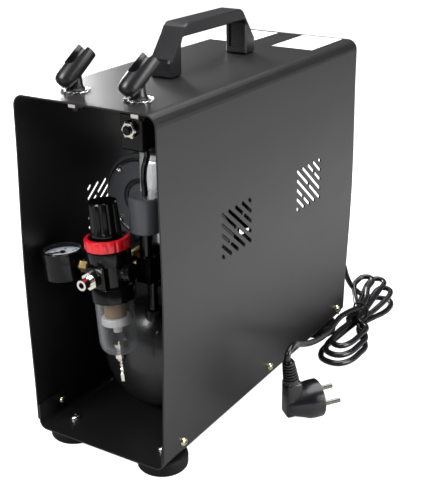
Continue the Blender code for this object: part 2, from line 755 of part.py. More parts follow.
def make_tank():
    tank = node("air_tank", tank_shape(0), "tank_paint")
    feet = [box((0.066, 0.014, 0.024), at(0, back, 0.0047)) for back in (0.110, 0.300)]
    bosses = [rod(at(0.0080, 0.0820, 0.095), at(0.0080, 0.0820, 0.1045), 0.0080, segments=12),
              rod(at(0.0220, 0.2150, 0.090), at(0.0220, 0.2150, 0.1045), 0.0080, segments=12),
              rod(at(0, 0.2900, 0.098), at(0, 0.2900, 0.1075), 0.0070, segments=12)]
    join(tank, *feet, *bosses)
    join(tank, rod(at(0, 0.320, 0.016), at(0, 0.3480, 0.016), 0.0085, segments=12))
    port = rod(at(0, 0.2900, 0.090), at(0, 0.2900, 0.115), 0.0035, segments=12)
    cut(tank, tank_shape(TANK_WALL), port)


def make_tank_fittings():
    valve = turned(((0.0018, 0.0180), (0.0050, 0.0180), (0.0050, 0.0060), (0.0065, 0.0060),
                    (0.0065, 0.0003), (0.0018, 0.0003)), 16)
    place(node("safety_valve", valve, "brass"), at(0, 0.2900, 0.1075))
    pin = turned(((0, 0.0260), (0.0030, 0.0260), (0.0030, 0.0240), (0.0014, 0.0240),
                  (0.0014, 0.0060), (0, 0.0060)), 12)
    place(node("safety_valve_pin", pin, "steel"), at(0, 0.2900, 0.1075))
    check = node("check_valve", hexagon(0.0150, GAP, 0.0120), "brass")
    place(check, at(0.0220, 0.2150, 0.1045))
    join(check, rod((0, 0, 0.010), (0, 0, 0.0200), 0.0050))
    rear = at(0, 0.3480 + GAP, 0.016)
    drain = turned(((0.0022, 0.0110), (0.0050, 0.0110), (0.0050, 0.0040), (0.0062, 0.0040),
                    (0.0062, 0), (0.0022, 0)), 16)
    place(node("tank_drain_valve", drain, "brass"), rear, (math.radians(-90), 0, 0))
    knob = node("tank_drain_knob", turned(((0, 0.0165), (0.0070, 0.0165), (0.0075, 0.0155),
                (0.0075, 0.0113), (0.0018, 0.0113), (0.0018, 0.0020), (0, 0.0020)), 10), "brass")
    place(knob, rear, (math.radians(-90), 0, 0))
    join(knob, box((0.0190, 0.0030, 0.0030), (0, 0, 0.0140)))


# ---- Pump ---------------------------------------------------------------------------------------
def on_shaft(mesh, back=0.0):
    """Turns a shape made about Z onto the motor's shaft, with Z as the distance back."""
    return moved(along_y(mesh), Matrix.Translation(at(MOTOR_X, back, MOTOR_UP)))


def make_motor():
    motor = node("motor_housing", motor_shell(), "tank_paint")
    feet = [box((0.012, 0.046, 0.034), at(MOTOR_X + side * 0.026, 0.130, 0.1595))
            for side in (-1, 1)]
    join(motor, *feet)


def motor_shell():
    """Motor with its wound core: a thick can, closed in front, open to the crankcase behind."""
    profile = ((0, MOTOR_FRONT + 0.004), (0.0240, MOTOR_FRONT + 0.004), (0.0240, MOTOR_REAR),
               (MOTOR_RADIUS, MOTOR_REAR), (MOTOR_RADIUS, MOTOR_FRONT + 0.003),
               (MOTOR_RADIUS - 0.003, MOTOR_FRONT), (0, MOTOR_FRONT))
    return on_shaft(turned(profile, 32))


def make_rotor():
    """Rotor, shaft and eccentric, which turn as one."""
    profile = ((0, 0.2180), (0.0035, 0.2180), (0.0035, 0.1500), (0.0225, 0.1500),
               (0.0225, 0.1120), (0.0030, 0.1120), (0.0030, 0.1060), (0, 0.1060))
    rotor = node("rotor_shaft", turned(profile, 20), "steel")
    place(rotor, at(MOTOR_X, 0, MOTOR_UP), (math.radians(-90), 0, 0))
    join(rotor, rod((0, -STROKE / 2, 0.1660), (0, -STROKE / 2, 0.1750), 0.0100, segments=20))


def make_crankcase():
    casting = on_shaft(turned(((0.0250, CRANK_REAR), (0.0330, CRANK_REAR), (0.0390, 0.1920),
                               (0.0390, MOTOR_REAR + 0.0003), (0.0250, MOTOR_REAR + 0.0003)), 20))
    crankcase = node("crankcase", casting, "aluminium")
    neck = rod(at(MOTOR_X, CYLINDER_BACK, MOTOR_UP + 0.030), at(MOTOR_X, CYLINDER_BACK, 0.2480),
               0.0170, segments=24)
    join(crankcase, neck)
    cut(crankcase, rod(at(MOTOR_X, CYLINDER_BACK, MOTOR_UP), at(MOTOR_X, CYLINDER_BACK, 0.2600),
                       0.0130, segments=20))
    rear = on_shaft(turned(((0.0046, CRANK_REAR + 0.0045), (0.0330, CRANK_REAR + 0.0045),
                            (0.0330, CRANK_REAR - 0.0010), (0.0046, CRANK_REAR - 0.0010)), 20))
    join(crankcase, rear)


def make_cylinder():
    bottom = 0.2483
    outer = [(0.0170, bottom + 0.0340)]
    for index in reversed(range(4)):
        low = bottom + 0.0085 * index
        outer += [(0.0170, low + 0.0065), (0.0270, low + 0.0055), (0.0270, low + 0.0030),
                  (0.0170, low + 0.0020)]
    outer += [(0.0170, bottom), (0.0122, bottom), (0.0122, bottom + 0.0340)]
    place(node("cylinder_barrel", turned(outer, 18), "aluminium"), at(MOTOR_X, CYLINDER_BACK, 0))
    head_bottom = bottom + 0.0343
    head = node("cylinder_head", box((0.046, 0.046, 0.012), (0, 0, 0.006)), "aluminium")
    place(head, at(MOTOR_X, CYLINDER_BACK, head_bottom))
    slots = [box((0.0026, 0.060, 0.008), (-0.0135 + 0.0054 * i, 0, 0.0115)) for i in range(6)]
    cut(head, group(slots))
    return head_bottom


def make_piston():
    """Piston and rod in one; the rod's fork straddles the shaft with room for the stroke."""
    top = 0.2760
    crown = turned(((0, top), (0.0116, top), (0.0116, top - 0.0070), (0, top - 0.0070)), 24)
    piston = node("piston", crown, "black_anodised")
    place(piston, at(MOTOR_X, CYLINDER_BACK, 0))
    low = MOTOR_UP - 0.0060
    join(piston, box((0.0160, 0.0056, top - 0.0060 - low), (0, 0, (top - 0.0060 + low) / 2)))
    slot_top = MOTOR_UP + 0.0145
    cut(piston, box((0.0078, 0.0100, slot_top - low + 0.0100), (0, 0, (slot_top + low - 0.0100) / 2)))


def make_fan():
    fan = node("cooling_fan", turned(((0.0038, 0.2170), (0.0090, 0.2170), (0.0090, 0.2060),
                                      (0.0038, 0.2060)), 16), "black_plastic")
    place(fan, at(MOTOR_X, 0, MOTOR_UP), (math.radians(-90), 0, 0))
    blades = []
    for index in range(7):
        blade = box((0.0250, 0.0015, 0.0100), (0.0205, 0, 0))
        pitch = Matrix.Rotation(math.radians(32), 4, "X")
        turn = Matrix.Rotation(2 * math.pi * index / 7, 4, "Z")
        blades.append(moved(blade, Matrix.Translation((0, 0, 0.2115)) @ turn @ pitch))
    join(fan, *blades)


def make_pump_mounting():
    deck = node("pump_deck", box((0.100, 0.112, 0.0025), at(-0.013, 0.146, 0.1262)), "powder_coat")
    legs = [box((0.080, 0.0030, 0.0500), at(-0.013, back, 0.1010)) for back in (0.106, 0.196)]
    post = box((0.0140, 0.0030, 0.0530), at(0.0190, 0.0925, 0.1510))
    shelf = box((0.0300, 0.0300, 0.0020), at(0.0190, 0.0815, 0.1774))
    join(deck, *legs, post, shelf)
    tank_space = tank_shape(-GAP)
    cut(deck, tank_space)
    for side, hand in ((-1, "left"), (1, "right")):
        mount = node(f"rubber_mount_{hand}", box((0.012, 0.046, 0.0144)), "black_rubber")
        place(mount, at(MOTOR_X + side * 0.026, 0.130, 0.1350))
    can = turned(((0, 0.0860), (0.0150, 0.0860), (0.0166, 0.0845), (0.0170, 0.0800),
                  (0.0162, 0.0785), (0.0170, 0.0770), (0.0170, 0.0020), (0.0155, 0), (0, 0)), 28)
    place(node("run_capacitor", can, "aluminium"), at(0.0180, 0.0822, 0.1787))


def make_delivery(head_bottom):
    start = at(MOTOR_X + 0.0240, CYLINDER_BACK + 0.008, head_bottom + 0.0050)
    points = [start, start + Vector((0.006, 0, 0)), at(0.0205, 0.1950, 0.2840),
              at(0.0260, 0.2050, 0.2700), at(0.0265, 0.2120, 0.2450), at(0.0240, 0.2150, 0.2100),
              at(0.0225, 0.2150, 0.1700), at(0.0220, 0.2150, 0.1400), at(0.0220, 0.2150, 0.1248)]
    tube("delivery_tube", spline_through(points, 0.008), 0.0030, "copper")


# ---- Electrics ------------------------------------------------------------------------------------
def make_switch_box():
    body = node("switch_box", box((0.025, 0.021, 0.033), at(0.0175, 0.0545, 0.2885)), "black_plastic")
    rounded(body, 0.0015)
    lug = box((0.016, 0.012, 0.0140), at(0.0175, 0.0560, 0.3112))
    nut = moved(hexagon(0.0140, -0.001, 0.0035), Matrix.Rotation(math.radians(90), 4, "X"))
    join(body, lug, moved(nut, Matrix.Translation(at(0.0160, 0.0440, 0.2910))))
    cut(body, rod(at(0.0160, 0.030, 0.2910), at(0.0160, 0.0560, 0.2910), 0.0046, segments=16))
    button = turned(((0, 0.0065), (0.0034, 0.0065), (0.0042, 0.0055), (0.0042, -0.0060),
                     (0, -0.0060)), 16)
    place(node("power_button", button, "black_plastic"), at(0.0160, 0.0440, 0.2910),
          (math.radians(90), 0, 0))


def make_switch_cable():
    route = [at(0.0258, 0.0540, 0.2714), at(0.0256, 0.0540, 0.2650), at(0.0240, 0.0515, 0.2560),
             at(0.0250, 0.0490, 0.2460), at(0.0262, 0.0482, 0.2380), at(0.0264, 0.0480, 0.2321)]
    tube("switch_cable", spline_through(route, 0.0050), 0.0027, "black_rubber")


# ---- Mains lead -----------------------------------------------------------------------------------
def make_cord():
    boot = turned(((0.0036, 0.0145), (0.0052, 0.0145), (0.0068, 0.0030), (0.0090, 0.0020),
                   (0.0090, 0), (0.0050, 0), (0.0050, -0.0060), (0.0036, -0.0060)), 20)
    relief = node("strain_relief", boot, "black_rubber")
    place(relief, at(GLAND_X, 0.3798 + GAP, GLAND_UP), (math.radians(-90), 0, 0))
    for name, route in (("cord_lead", LEAD_ROUTE), ("cord_tail", TAIL_ROUTE)):
        points = spline_through([on_floor(*point) for point in route], 0.0075)
        tube(name, points, CORD_RADIUS, "black_rubber")
    flat = [(x, CASE_FRONT + back) for x, back in HANK_OUTLINE]
    hank = outline(flat, HANK_HEIGHT)
    node("cord_hank", moved(hank, Matrix.Translation((0, 0, HANK_HEIGHT / 2 + 0.0001))),
         "black_rubber")


def make_plug():
    face = on_floor(*PLUG_FACE)
    body = node("plug_body", rod(face - 0.014 * PLUG_AXIS, face, 0.0190, 0.0195, 24), "black_rubber")
    grip = face - 0.0300 * PLUG_AXIS
    boot_end = on_floor(*TAIL_ROUTE[0])
    neck = grip + 0.0280 * PLUG_BOOT
    join(body, rod(face - 0.036 * PLUG_AXIS, face - 0.013 * PLUG_AXIS, 0.0110, 0.0180, 24),
         rod(grip - 0.0120 * PLUG_BOOT, neck, 0.0105, 0.0095, 16),
         rod(neck - 0.001 * PLUG_BOOT, boot_end - 0.0010 * PLUG_BOOT, 0.0075, 0.0046, 16))
    for side, hand in ((-1, "left"), (1, "right")):
        start = face + side * 0.0095 * PIN_LINE
        pin = rod(start + GAP * PLUG_AXIS, start + 0.0195 * PLUG_AXIS, 0.0024, segments=12)
        node(f"plug_pin_{hand}", pin, "nickel")


clear_scene()
PARTS = collection("airbrush_compressor")
CUTTERS = collection("cutters")
make_cover()
make_tray()
make_feet()
make_handle()
make_holders()
make_holder_hardware()
REGULATOR = make_regulator_frame()
make_regulator_body()
make_regulator_top()
make_ports()
make_gauge()
make_bowl()
make_manifold()
make_tank()
make_tank_fittings()
make_motor()
make_rotor()
make_crankcase()
HEAD_BOTTOM = make_cylinder()
make_piston()
make_fan()
make_pump_mounting()
make_delivery(HEAD_BOTTOM)
make_switch_box()
make_switch_cable()
make_cord()
make_plug()
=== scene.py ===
"""Looks of the airbrush compressor: its finishes, its mains lead and the fine detail of its parts."""

import json
import logging
import math
from dataclasses import dataclass, field
from enum import Enum
from typing import Iterable, Sequence

import bmesh
import bpy
from mathutils import Matrix, Vector


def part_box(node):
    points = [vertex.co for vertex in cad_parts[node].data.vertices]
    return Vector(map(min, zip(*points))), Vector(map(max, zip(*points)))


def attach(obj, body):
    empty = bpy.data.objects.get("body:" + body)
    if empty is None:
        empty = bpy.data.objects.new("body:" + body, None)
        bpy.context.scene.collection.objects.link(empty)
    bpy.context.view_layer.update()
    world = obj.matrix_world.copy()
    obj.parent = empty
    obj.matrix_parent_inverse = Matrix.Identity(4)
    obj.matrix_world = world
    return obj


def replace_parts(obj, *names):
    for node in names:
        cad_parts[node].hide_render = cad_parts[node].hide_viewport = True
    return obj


LOG = logging.getLogger("airbrush_compressor")

# Metres and radians throughout: the gap between pieces that touch, the distance under which two
# points are one, and the lean of the regulator, whose top tips toward the left.
GAP = 0.0003
DOUBLES = 1e-6
LEAN = math.radians(-5)

# Values that every finish shares.
COAT_ROUGHNESS = 0.08
REFRACTION = 1.5
WHITE = (1.0, 1.0, 1.0, 1.0)

HANDS = ("left", "right")
FEET = ("foot_front_left", "foot_front_right", "foot_rear_left", "foot_rear_right")
BACKWARD = Vector((0, 1, 0))
FORWARD = Vector((0, -1, 0))


class Body(Enum):
    """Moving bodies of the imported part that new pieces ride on."""

    CASE = "case"
    KNOB = "knob"
    HOLDER_LEFT = "holder_left_body"
    HOLDER_RIGHT = "holder_right_body"


# ---- Finishes -----------------------------------------------------------------------------------
@dataclass(frozen=True)
class Finish:
    """One surface finish.

    Attributes:
        name: Material name, the same as the record's slot where it has one.
        colour: Base colour, linear.
        roughness: Middle of the roughness range.
        metallic: 1 for bare metal.
        grain_size: Size of the fine bumps, in metres.
        grain_depth: Strength of the fine bumps, 0 to 1.
        mottle: How far colour and roughness wander over the surface, 0 to 1.
        brushed: Stretch of the grain along Z, for turned or brushed metal.
        coat: Weight of a clear gloss layer.
        alpha: How much of the surface hides what is behind it, for clear plastic.
        rim: How much more it hides where it turns away, for the edge of a clear wall; where it is set, the
            base colour also fades to dark toward the middle of the wall, leaving a painted highlight along
            its edges.
        specular: Strength of its plain reflection.
    """

    name: str
    colour: tuple[float, float, float]
    roughness: float
    metallic: float = 0.0
    grain_size: float = 0.0008
    grain_depth: float = 0.15
    mottle: float = 0.15
    brushed: float = 1.0
    coat: float = 0.0
    alpha: float = 1.0
    rim: float = 0.0
    specular: float = 0.5


FINISHES: dict[str, Finish] = {
    item.name: item
    for item in (
        Finish("powder", (0.0065, 0.0063, 0.0065), 0.40, grain_size=0.0009, grain_depth=0.20, mottle=0.12),
        Finish("handle_plastic", (0.006, 0.006, 0.007), 0.34, grain_size=0.0007, grain_depth=0.12),
        Finish("rubber", (0.003, 0.003, 0.003), 0.60, grain_size=0.0012, grain_depth=0.25, mottle=0.30,
               specular=0.22),
        Finish("nickel", (0.86, 0.83, 0.76), 0.15, 1.0, grain_size=0.002, grain_depth=0.03, mottle=0.25),
        Finish("pin_metal", (0.20, 0.185, 0.165), 0.22, 1.0, grain_size=0.001, grain_depth=0.04, mottle=0.3),
        Finish("washer_plate", (0.88, 0.88, 0.88), 0.22, 1.0, grain_size=0.001, grain_depth=0.04),
        Finish("screw_plate", (0.76, 0.68, 0.44), 0.20, 1.0, grain_size=0.001, grain_depth=0.05),
        Finish("black_plastic", (0.002, 0.002, 0.0025), 0.15, grain_size=0.0009, grain_depth=0.03,
               specular=0.28),
        Finish("red_plastic", (0.62, 0.008, 0.016), 0.25, grain_size=0.0012, grain_depth=0.04, coat=0.4),
        Finish("black_anodised", (0.002, 0.002, 0.0025), 0.17, grain_size=0.0010, grain_depth=0.05,
               specular=0.28),
        Finish("brass", (0.66, 0.47, 0.20), 0.24, 1.0, grain_size=0.0015, grain_depth=0.06, mottle=0.3),
        Finish("dial", (0.86, 0.92, 1.0), 0.42, grain_size=0.0006, grain_depth=0.03, mottle=0.05),
        # Clear plastic: its pale colour is scaled down toward the middle of each wall, so it paints a
        # highlight along the edges.
        Finish("clear_plastic", (0.60, 0.62, 0.64), 0.05, grain_size=0.004, grain_depth=0.02,
               mottle=0.02, coat=1.0, alpha=0.08, rim=0.75),
        Finish("window", (0.02, 0.02, 0.022), 0.05, grain_size=0.004, grain_depth=0.01,
               mottle=0.02, alpha=0.04, rim=0.10),
        Finish("sintered", (0.30, 0.21, 0.12), 0.85, grain_size=0.0010, grain_depth=0.8, mottle=0.5),
        Finish("white_plastic", (0.80, 0.80, 0.79), 0.38, grain_size=0.0010, grain_depth=0.04),
        Finish("steel", (0.50, 0.50, 0.52), 0.26, 1.0, grain_size=0.0009, grain_depth=0.08, brushed=12),
        Finish("bell_paint", (0.060, 0.063, 0.072), 0.36, grain_size=0.0012, grain_depth=0.12),
        Finish("tank_paint", (0.010, 0.010, 0.011), 0.30, grain_size=0.0025, grain_depth=0.12, coat=0.25),
        Finish("aluminium", (0.93, 0.94, 0.95), 0.40, 0.75, grain_size=0.0012, grain_depth=0.22, mottle=0.3),
        Finish("copper", (0.72, 0.34, 0.18), 0.28, 1.0, grain_size=0.002, grain_depth=0.05, mottle=0.4),
        Finish("cord", (0.003, 0.003, 0.004), 0.27, grain_size=0.0009, grain_depth=0.10, coat=0.15),
        Finish("paper", (0.82, 0.82, 0.80), 0.60, grain_size=0.0005, grain_depth=0.05, mottle=0.06),
        Finish("ink", (0.02, 0.02, 0.025), 0.60, grain_size=0.0005, grain_depth=0.02),
    )
}


def add_node(
    tree: bpy.types.NodeTree,
    kind: str,
    operation: str | None = None,
    values: dict[str | int, float | tuple[float, ...]] | None = None,
) -> bpy.types.Node:
    """Adds a shader node to a tree.

    Args:
        tree: The tree to add to.
        kind: Its type, without ShaderNode.
        operation: What a math node does.
        values: Plain value of each input that has one, by the input's name or number.

    Returns:
        The new node.
    """
    made = tree.nodes.new(f"ShaderNode{kind}")
    if operation:
        made.operation = operation
    for socket, value in (values or {}).items():
        made.inputs[socket].default_value = value
    return made


def grain_group() -> bpy.types.ShaderNodeTree:
    """Shared effect: fine grain and slow mottling over an object.

    Returns:
        The node group, with inputs Base, Scale, Stretch, Mottle and Rough, and outputs Color,
        Roughness and Height.
    """
    if "SurfaceGrain" in bpy.data.node_groups:
        return bpy.data.node_groups["SurfaceGrain"]
    tree = bpy.data.node_groups.new("SurfaceGrain", "ShaderNodeTree")
    for name, kind in (("Base", "Color"), ("Scale", "Float"), ("Stretch", "Float"), ("Mottle", "Float"),
                       ("Rough", "Float")):
        tree.interface.new_socket(name=name, in_out="INPUT", socket_type=f"NodeSocket{kind}")
    for name, kind in (("Color", "Color"), ("Roughness", "Float"), ("Height", "Float")):
        tree.interface.new_socket(name=name, in_out="OUTPUT", socket_type=f"NodeSocket{kind}")
    inside = tree.nodes.new("NodeGroupInput")
    outside = tree.nodes.new("NodeGroupOutput")
    place = add_node(tree, "TexCoord")
    divide = add_node(tree, "Math", "DIVIDE", {0: 1.0})
    squeeze = add_node(tree, "CombineXYZ", None, {"X": 1.0, "Y": 1.0})
    scaled = add_node(tree, "VectorMath", "MULTIPLY")
    fine = add_node(tree, "TexNoise", None, {"Detail": 3.0})
    slow = add_node(tree, "TexNoise", None, {"Scale": 24.0, "Detail": 5.0, "Roughness": 0.62})
    centred = add_node(tree, "Math", "SUBTRACT", {1: 0.5})
    amount = add_node(tree, "Math", "MULTIPLY")
    gain = add_node(tree, "Math", "MULTIPLY_ADD", {1: 1.6, 2: 1.0})
    shade = add_node(tree, "VectorMath", "SCALE")
    rough = add_node(tree, "Math", "MULTIPLY_ADD", {1: 0.5})
    for source, target in (
        (inside.outputs["Stretch"], divide.inputs[1]),
        (divide.outputs[0], squeeze.inputs["Z"]),
        (place.outputs["Object"], scaled.inputs[0]),
        (squeeze.outputs[0], scaled.inputs[1]),
        (scaled.outputs[0], fine.inputs["Vector"]),
        (inside.outputs["Scale"], fine.inputs["Scale"]),
        (place.outputs["Object"], slow.inputs["Vector"]),
        (slow.outputs["Fac"], centred.inputs[0]),
        (centred.outputs[0], amount.inputs[0]),
        (inside.outputs["Mottle"], amount.inputs[1]),
        (amount.outputs[0], gain.inputs[0]),
        (inside.outputs["Base"], shade.inputs[0]),
        (gain.outputs[0], shade.inputs["Scale"]),
        (amount.outputs[0], rough.inputs[0]),
        (inside.outputs["Rough"], rough.inputs[2]),
        (shade.outputs[0], outside.inputs["Color"]),
        (rough.outputs[0], outside.inputs["Roughness"]),
        (fine.outputs["Fac"], outside.inputs["Height"]),
    ):
        tree.links.new(source, target)
    return tree


def material(name: str) -> bpy.types.Material:
    """The material of a finish, built once.

    Args:
        name: Key of FINISHES.

    Returns:
        The material with its nodes.
    """
    label = f"finish_{name}"
    if label in bpy.data.materials:
        return bpy.data.materials[label]
    look = FINISHES[name]
    made = bpy.data.materials.new(label)
    made.use_nodes = True
    tree, links = made.node_tree, made.node_tree.links
    shader = tree.nodes["Principled BSDF"]
    grain = tree.nodes.new("ShaderNodeGroup")
    grain.node_tree = grain_group()
    for socket, value in (("Base", (*look.colour, 1.0)), ("Scale", 1.0 / look.grain_size),
                          ("Stretch", look.brushed), ("Mottle", look.mottle), ("Rough", look.roughness)):
        grain.inputs[socket].default_value = value
    bump = add_node(tree, "Bump", None, {"Strength": look.grain_depth, "Distance": look.grain_size * 0.4})
    links.new(grain.outputs["Height"], bump.inputs["Height"])
    links.new(bump.outputs["Normal"], shader.inputs["Normal"])
    links.new(grain.outputs["Color"], shader.inputs["Base Color"])
    links.new(grain.outputs["Roughness"], shader.inputs["Roughness"])
    for socket, value in (("Metallic", look.metallic), ("Coat Weight", look.coat),
                          ("Coat Roughness", COAT_ROUGHNESS), ("Alpha", look.alpha), ("IOR", REFRACTION),
                          ("Specular IOR Level", look.specular)):
        shader.inputs[socket].default_value = value
    if look.rim:
        turned_away = add_node(tree, "LayerWeight", None, {"Blend": 0.35})
        hide = add_node(tree, "Math", "MULTIPLY_ADD", {1: look.rim, 2: look.alpha})
        links.new(turned_away.outputs["Facing"], hide.inputs[0])
        links.new(hide.outputs[0], shader.inputs["Alpha"])
        # Painted highlight: the base colour is scaled by how far the surface turns away, so a clear wall is
        # dark in the middle and pale along its edges.
        rim_highlight = add_node(tree, "VectorMath", "SCALE")
        links.new(grain.outputs["Color"], rim_highlight.inputs[0])
        links.new(turned_away.outputs["Facing"], rim_highlight.inputs["Scale"])
        links.new(rim_highlight.outputs[0], shader.inputs["Base Color"])
    return made


def dress(node: str, finish: str) -> None:
    """Gives a CAD node's mesh one finish, on every material slot that it has.

    Args:
        node: Name of the CAD node.
        finish: Key of FINISHES.
    """
    obj = FRAME["nodes"][node]
    if not obj.material_slots:
        obj.data.materials.append(material(finish))
    for place in obj.material_slots:
        place.material = material(finish)


# ---- Places ---------------------------------------------------------------------------------------
def case_point(x: float, back: float, up: float) -> Vector:
    """A point measured back and up from the cover's lower front edge."""
    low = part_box("cover")[0]
    return Vector((x, low.y + back, low.z + up))


def floor_point(x: float, back: float, height: float) -> Vector:
    """A point measured back from the cover's front edge and up from the floor."""
    return Vector((x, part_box("cover")[0].y + back, height))


def middle_of(node: str, top: bool = False) -> Vector:
    """The middle of the bottom of a CAD node's box, or of its top."""
    low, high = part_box(node)
    return Vector(((low.x + high.x) / 2, (low.y + high.y) / 2, high.z if top else low.z))


# ---- Mesh helpers ---------------------------------------------------------------------------------
def piece(
    name: str,
    bm: bmesh.types.BMesh,
    finish: str,
    body: Body,
    sharp: float = 35.0,
) -> bpy.types.Object:
    """Makes a finished piece from a bmesh whose place is already in its mesh.

    Args:
        name: Piece name.
        bm: The shape, which is freed.
        finish: Key of FINISHES.
        body: Body it rides on.
        sharp: Edges over this angle, in degrees, stay sharp.

    Returns:
        The new object.
    """
    bmesh.ops.remove_doubles(bm, verts=bm.verts, dist=DOUBLES)
    bmesh.ops.recalc_face_normals(bm, faces=bm.faces)
    mesh = bpy.data.meshes.new(name)
    bm.to_mesh(mesh)
    bm.free()
    mesh.shade_smooth()
    mesh.set_sharp_from_angle(angle=math.radians(sharp))
    obj = bpy.data.objects.new(name, mesh)
    bpy.context.scene.collection.objects.link(obj)
    mesh.materials.append(material(finish))
    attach(obj, body.value)
    LOG.info("%s: %d faces on %s", name, len(mesh.polygons), body.value)
    return obj


def spun(
    bm: bmesh.types.BMesh,
    profile: Sequence[tuple[float, float]],
    matrix: Matrix = Matrix.Identity(4),
    steps: int = 48,
) -> list[bmesh.types.BMVert]:
    """Adds a turned shape about Z to a bmesh.

    Args:
        bm: The bmesh to add to.
        profile: (radius, z) points; it closes on itself when its first point is off the axis.
        matrix: Where the finished shape goes.
        steps: Faces round the turn.

    Returns:
        The new vertices.
    """
    verts = [bm.verts.new((radius, 0.0, z)) for radius, z in profile]
    pairs = list(zip(verts, verts[1:]))
    if profile[0][0] > 0:
        pairs.append((verts[-1], verts[0]))
    edges = [bm.edges.new(pair) for pair in pairs]
    before = set(bm.verts) - set(verts)
    bmesh.ops.spin(bm, geom=verts + edges, cent=(0, 0, 0), axis=(0, 0, 1),
                   angle=2 * math.pi, steps=steps, use_merge=True)
    new = [v for v in bm.verts if v not in before]
    bmesh.ops.remove_doubles(bm, verts=new, dist=DOUBLES)
    new = [v for v in bm.verts if v not in before]
    bmesh.ops.transform(bm, matrix=matrix, verts=new)
    return new


def block(
    bm: bmesh.types.BMesh,
    size: Sequence[float],
    matrix: Matrix = Matrix.Identity(4),
    bevel: float = 0.0,
    segments: int = 2,
) -> list[bmesh.types.BMVert]:
    """Adds a box with softened edges.

    Args:
        bm: The bmesh to add to.
        size: Length along X, Y and Z.
        matrix: Where it goes.
        bevel: Width of the softened edges.
        segments: Faces across each softened edge.

    Returns:
        The new vertices.
    """
    before = set(bm.verts)
    made = bmesh.ops.create_cube(bm, size=1.0)["verts"]
    bmesh.ops.scale(bm, vec=size, verts=made)
    if bevel:
        edges = list({edge for vert in made for edge in vert.link_edges})
        bmesh.ops.bevel(bm, geom=edges, offset=bevel, segments=segments, profile=0.5,
                        affect="EDGES", material=-1)
    new = [v for v in bm.verts if v not in before]
    bmesh.ops.transform(bm, matrix=matrix, verts=new)
    return new


def facing(origin: Vector, direction: Vector, up: Vector = Vector((0, 0, 1))) -> Matrix:
    """A matrix that puts a shape's Z along a direction.

    Args:
        origin: Where the shape's origin goes.
        direction: Where its Z points.
        up: Rough direction of its Y.

    Returns:
        The placing matrix.
    """
    z = direction.normalized()
    x = up.cross(z)
    x = x.normalized() if x.length > DOUBLES else Vector((1, 0, 0))
    y = z.cross(x)
    turn = Matrix((x, y, z)).transposed().to_4x4()
    return Matrix.Translation(origin) @ turn


def smooth_route(points: Sequence[Vector], spacing: float) -> list[Vector]:
    """Even points along a smooth curve through a route.

    Args:
        points: Points that the curve passes through.
        spacing: Rough distance between the returned points.

    Returns:
        The points, ends included.
    """
    route = [points[0], *points, points[-1]]
    parts = 12
    dense: list[Vector] = []
    for a, b, c, d in zip(route, route[1:], route[2:], route[3:]):
        for part in range(parts):
            t = part / parts
            dense.append(0.5 * (2 * b + (c - a) * t + (2 * a - 5 * b + 4 * c - d) * t * t
                                + (3 * b - a - 3 * c + d) * t ** 3))
    dense.append(points[-1])
    runs = [(q - p).length for p, q in zip(dense, dense[1:])]
    count = max(2, round(sum(runs) / spacing))
    even, gone, step = [dense[0]], 0.0, sum(runs) / count
    for p, q, run in zip(dense, dense[1:], runs):
        while len(even) < count and gone + run >= len(even) * step:
            even.append(p.lerp(q, (len(even) * step - gone) / run))
        gone += run
    return [*even, dense[-1]]


def tube(name: str, points: Sequence[Vector], radius: float, finish: str, body: Body) -> bpy.types.Object:
    """A round cable as a curve.

    Args:
        name: Piece name.
        points: Its centre line.
        radius: Its radius.
        finish: Key of FINISHES.
        body: Body it rides on.

    Returns:
        The curve object.
    """
    curve = bpy.data.curves.new(name, "CURVE")
    curve.dimensions = "3D"
    curve.bevel_depth = radius
    curve.bevel_resolution = 4
    curve.use_fill_caps = True
    spline = curve.splines.new("POLY")
    spline.points.add(len(points) - 1)
    for target, point in zip(spline.points, points):
        target.co = (*point, 1)
    curve.materials.append(material(finish))
    obj = bpy.data.objects.new(name, curve)
    bpy.context.scene.collection.objects.link(obj)
    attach(obj, body.value)
    LOG.info("%s: %d points", name, len(points))
    return obj


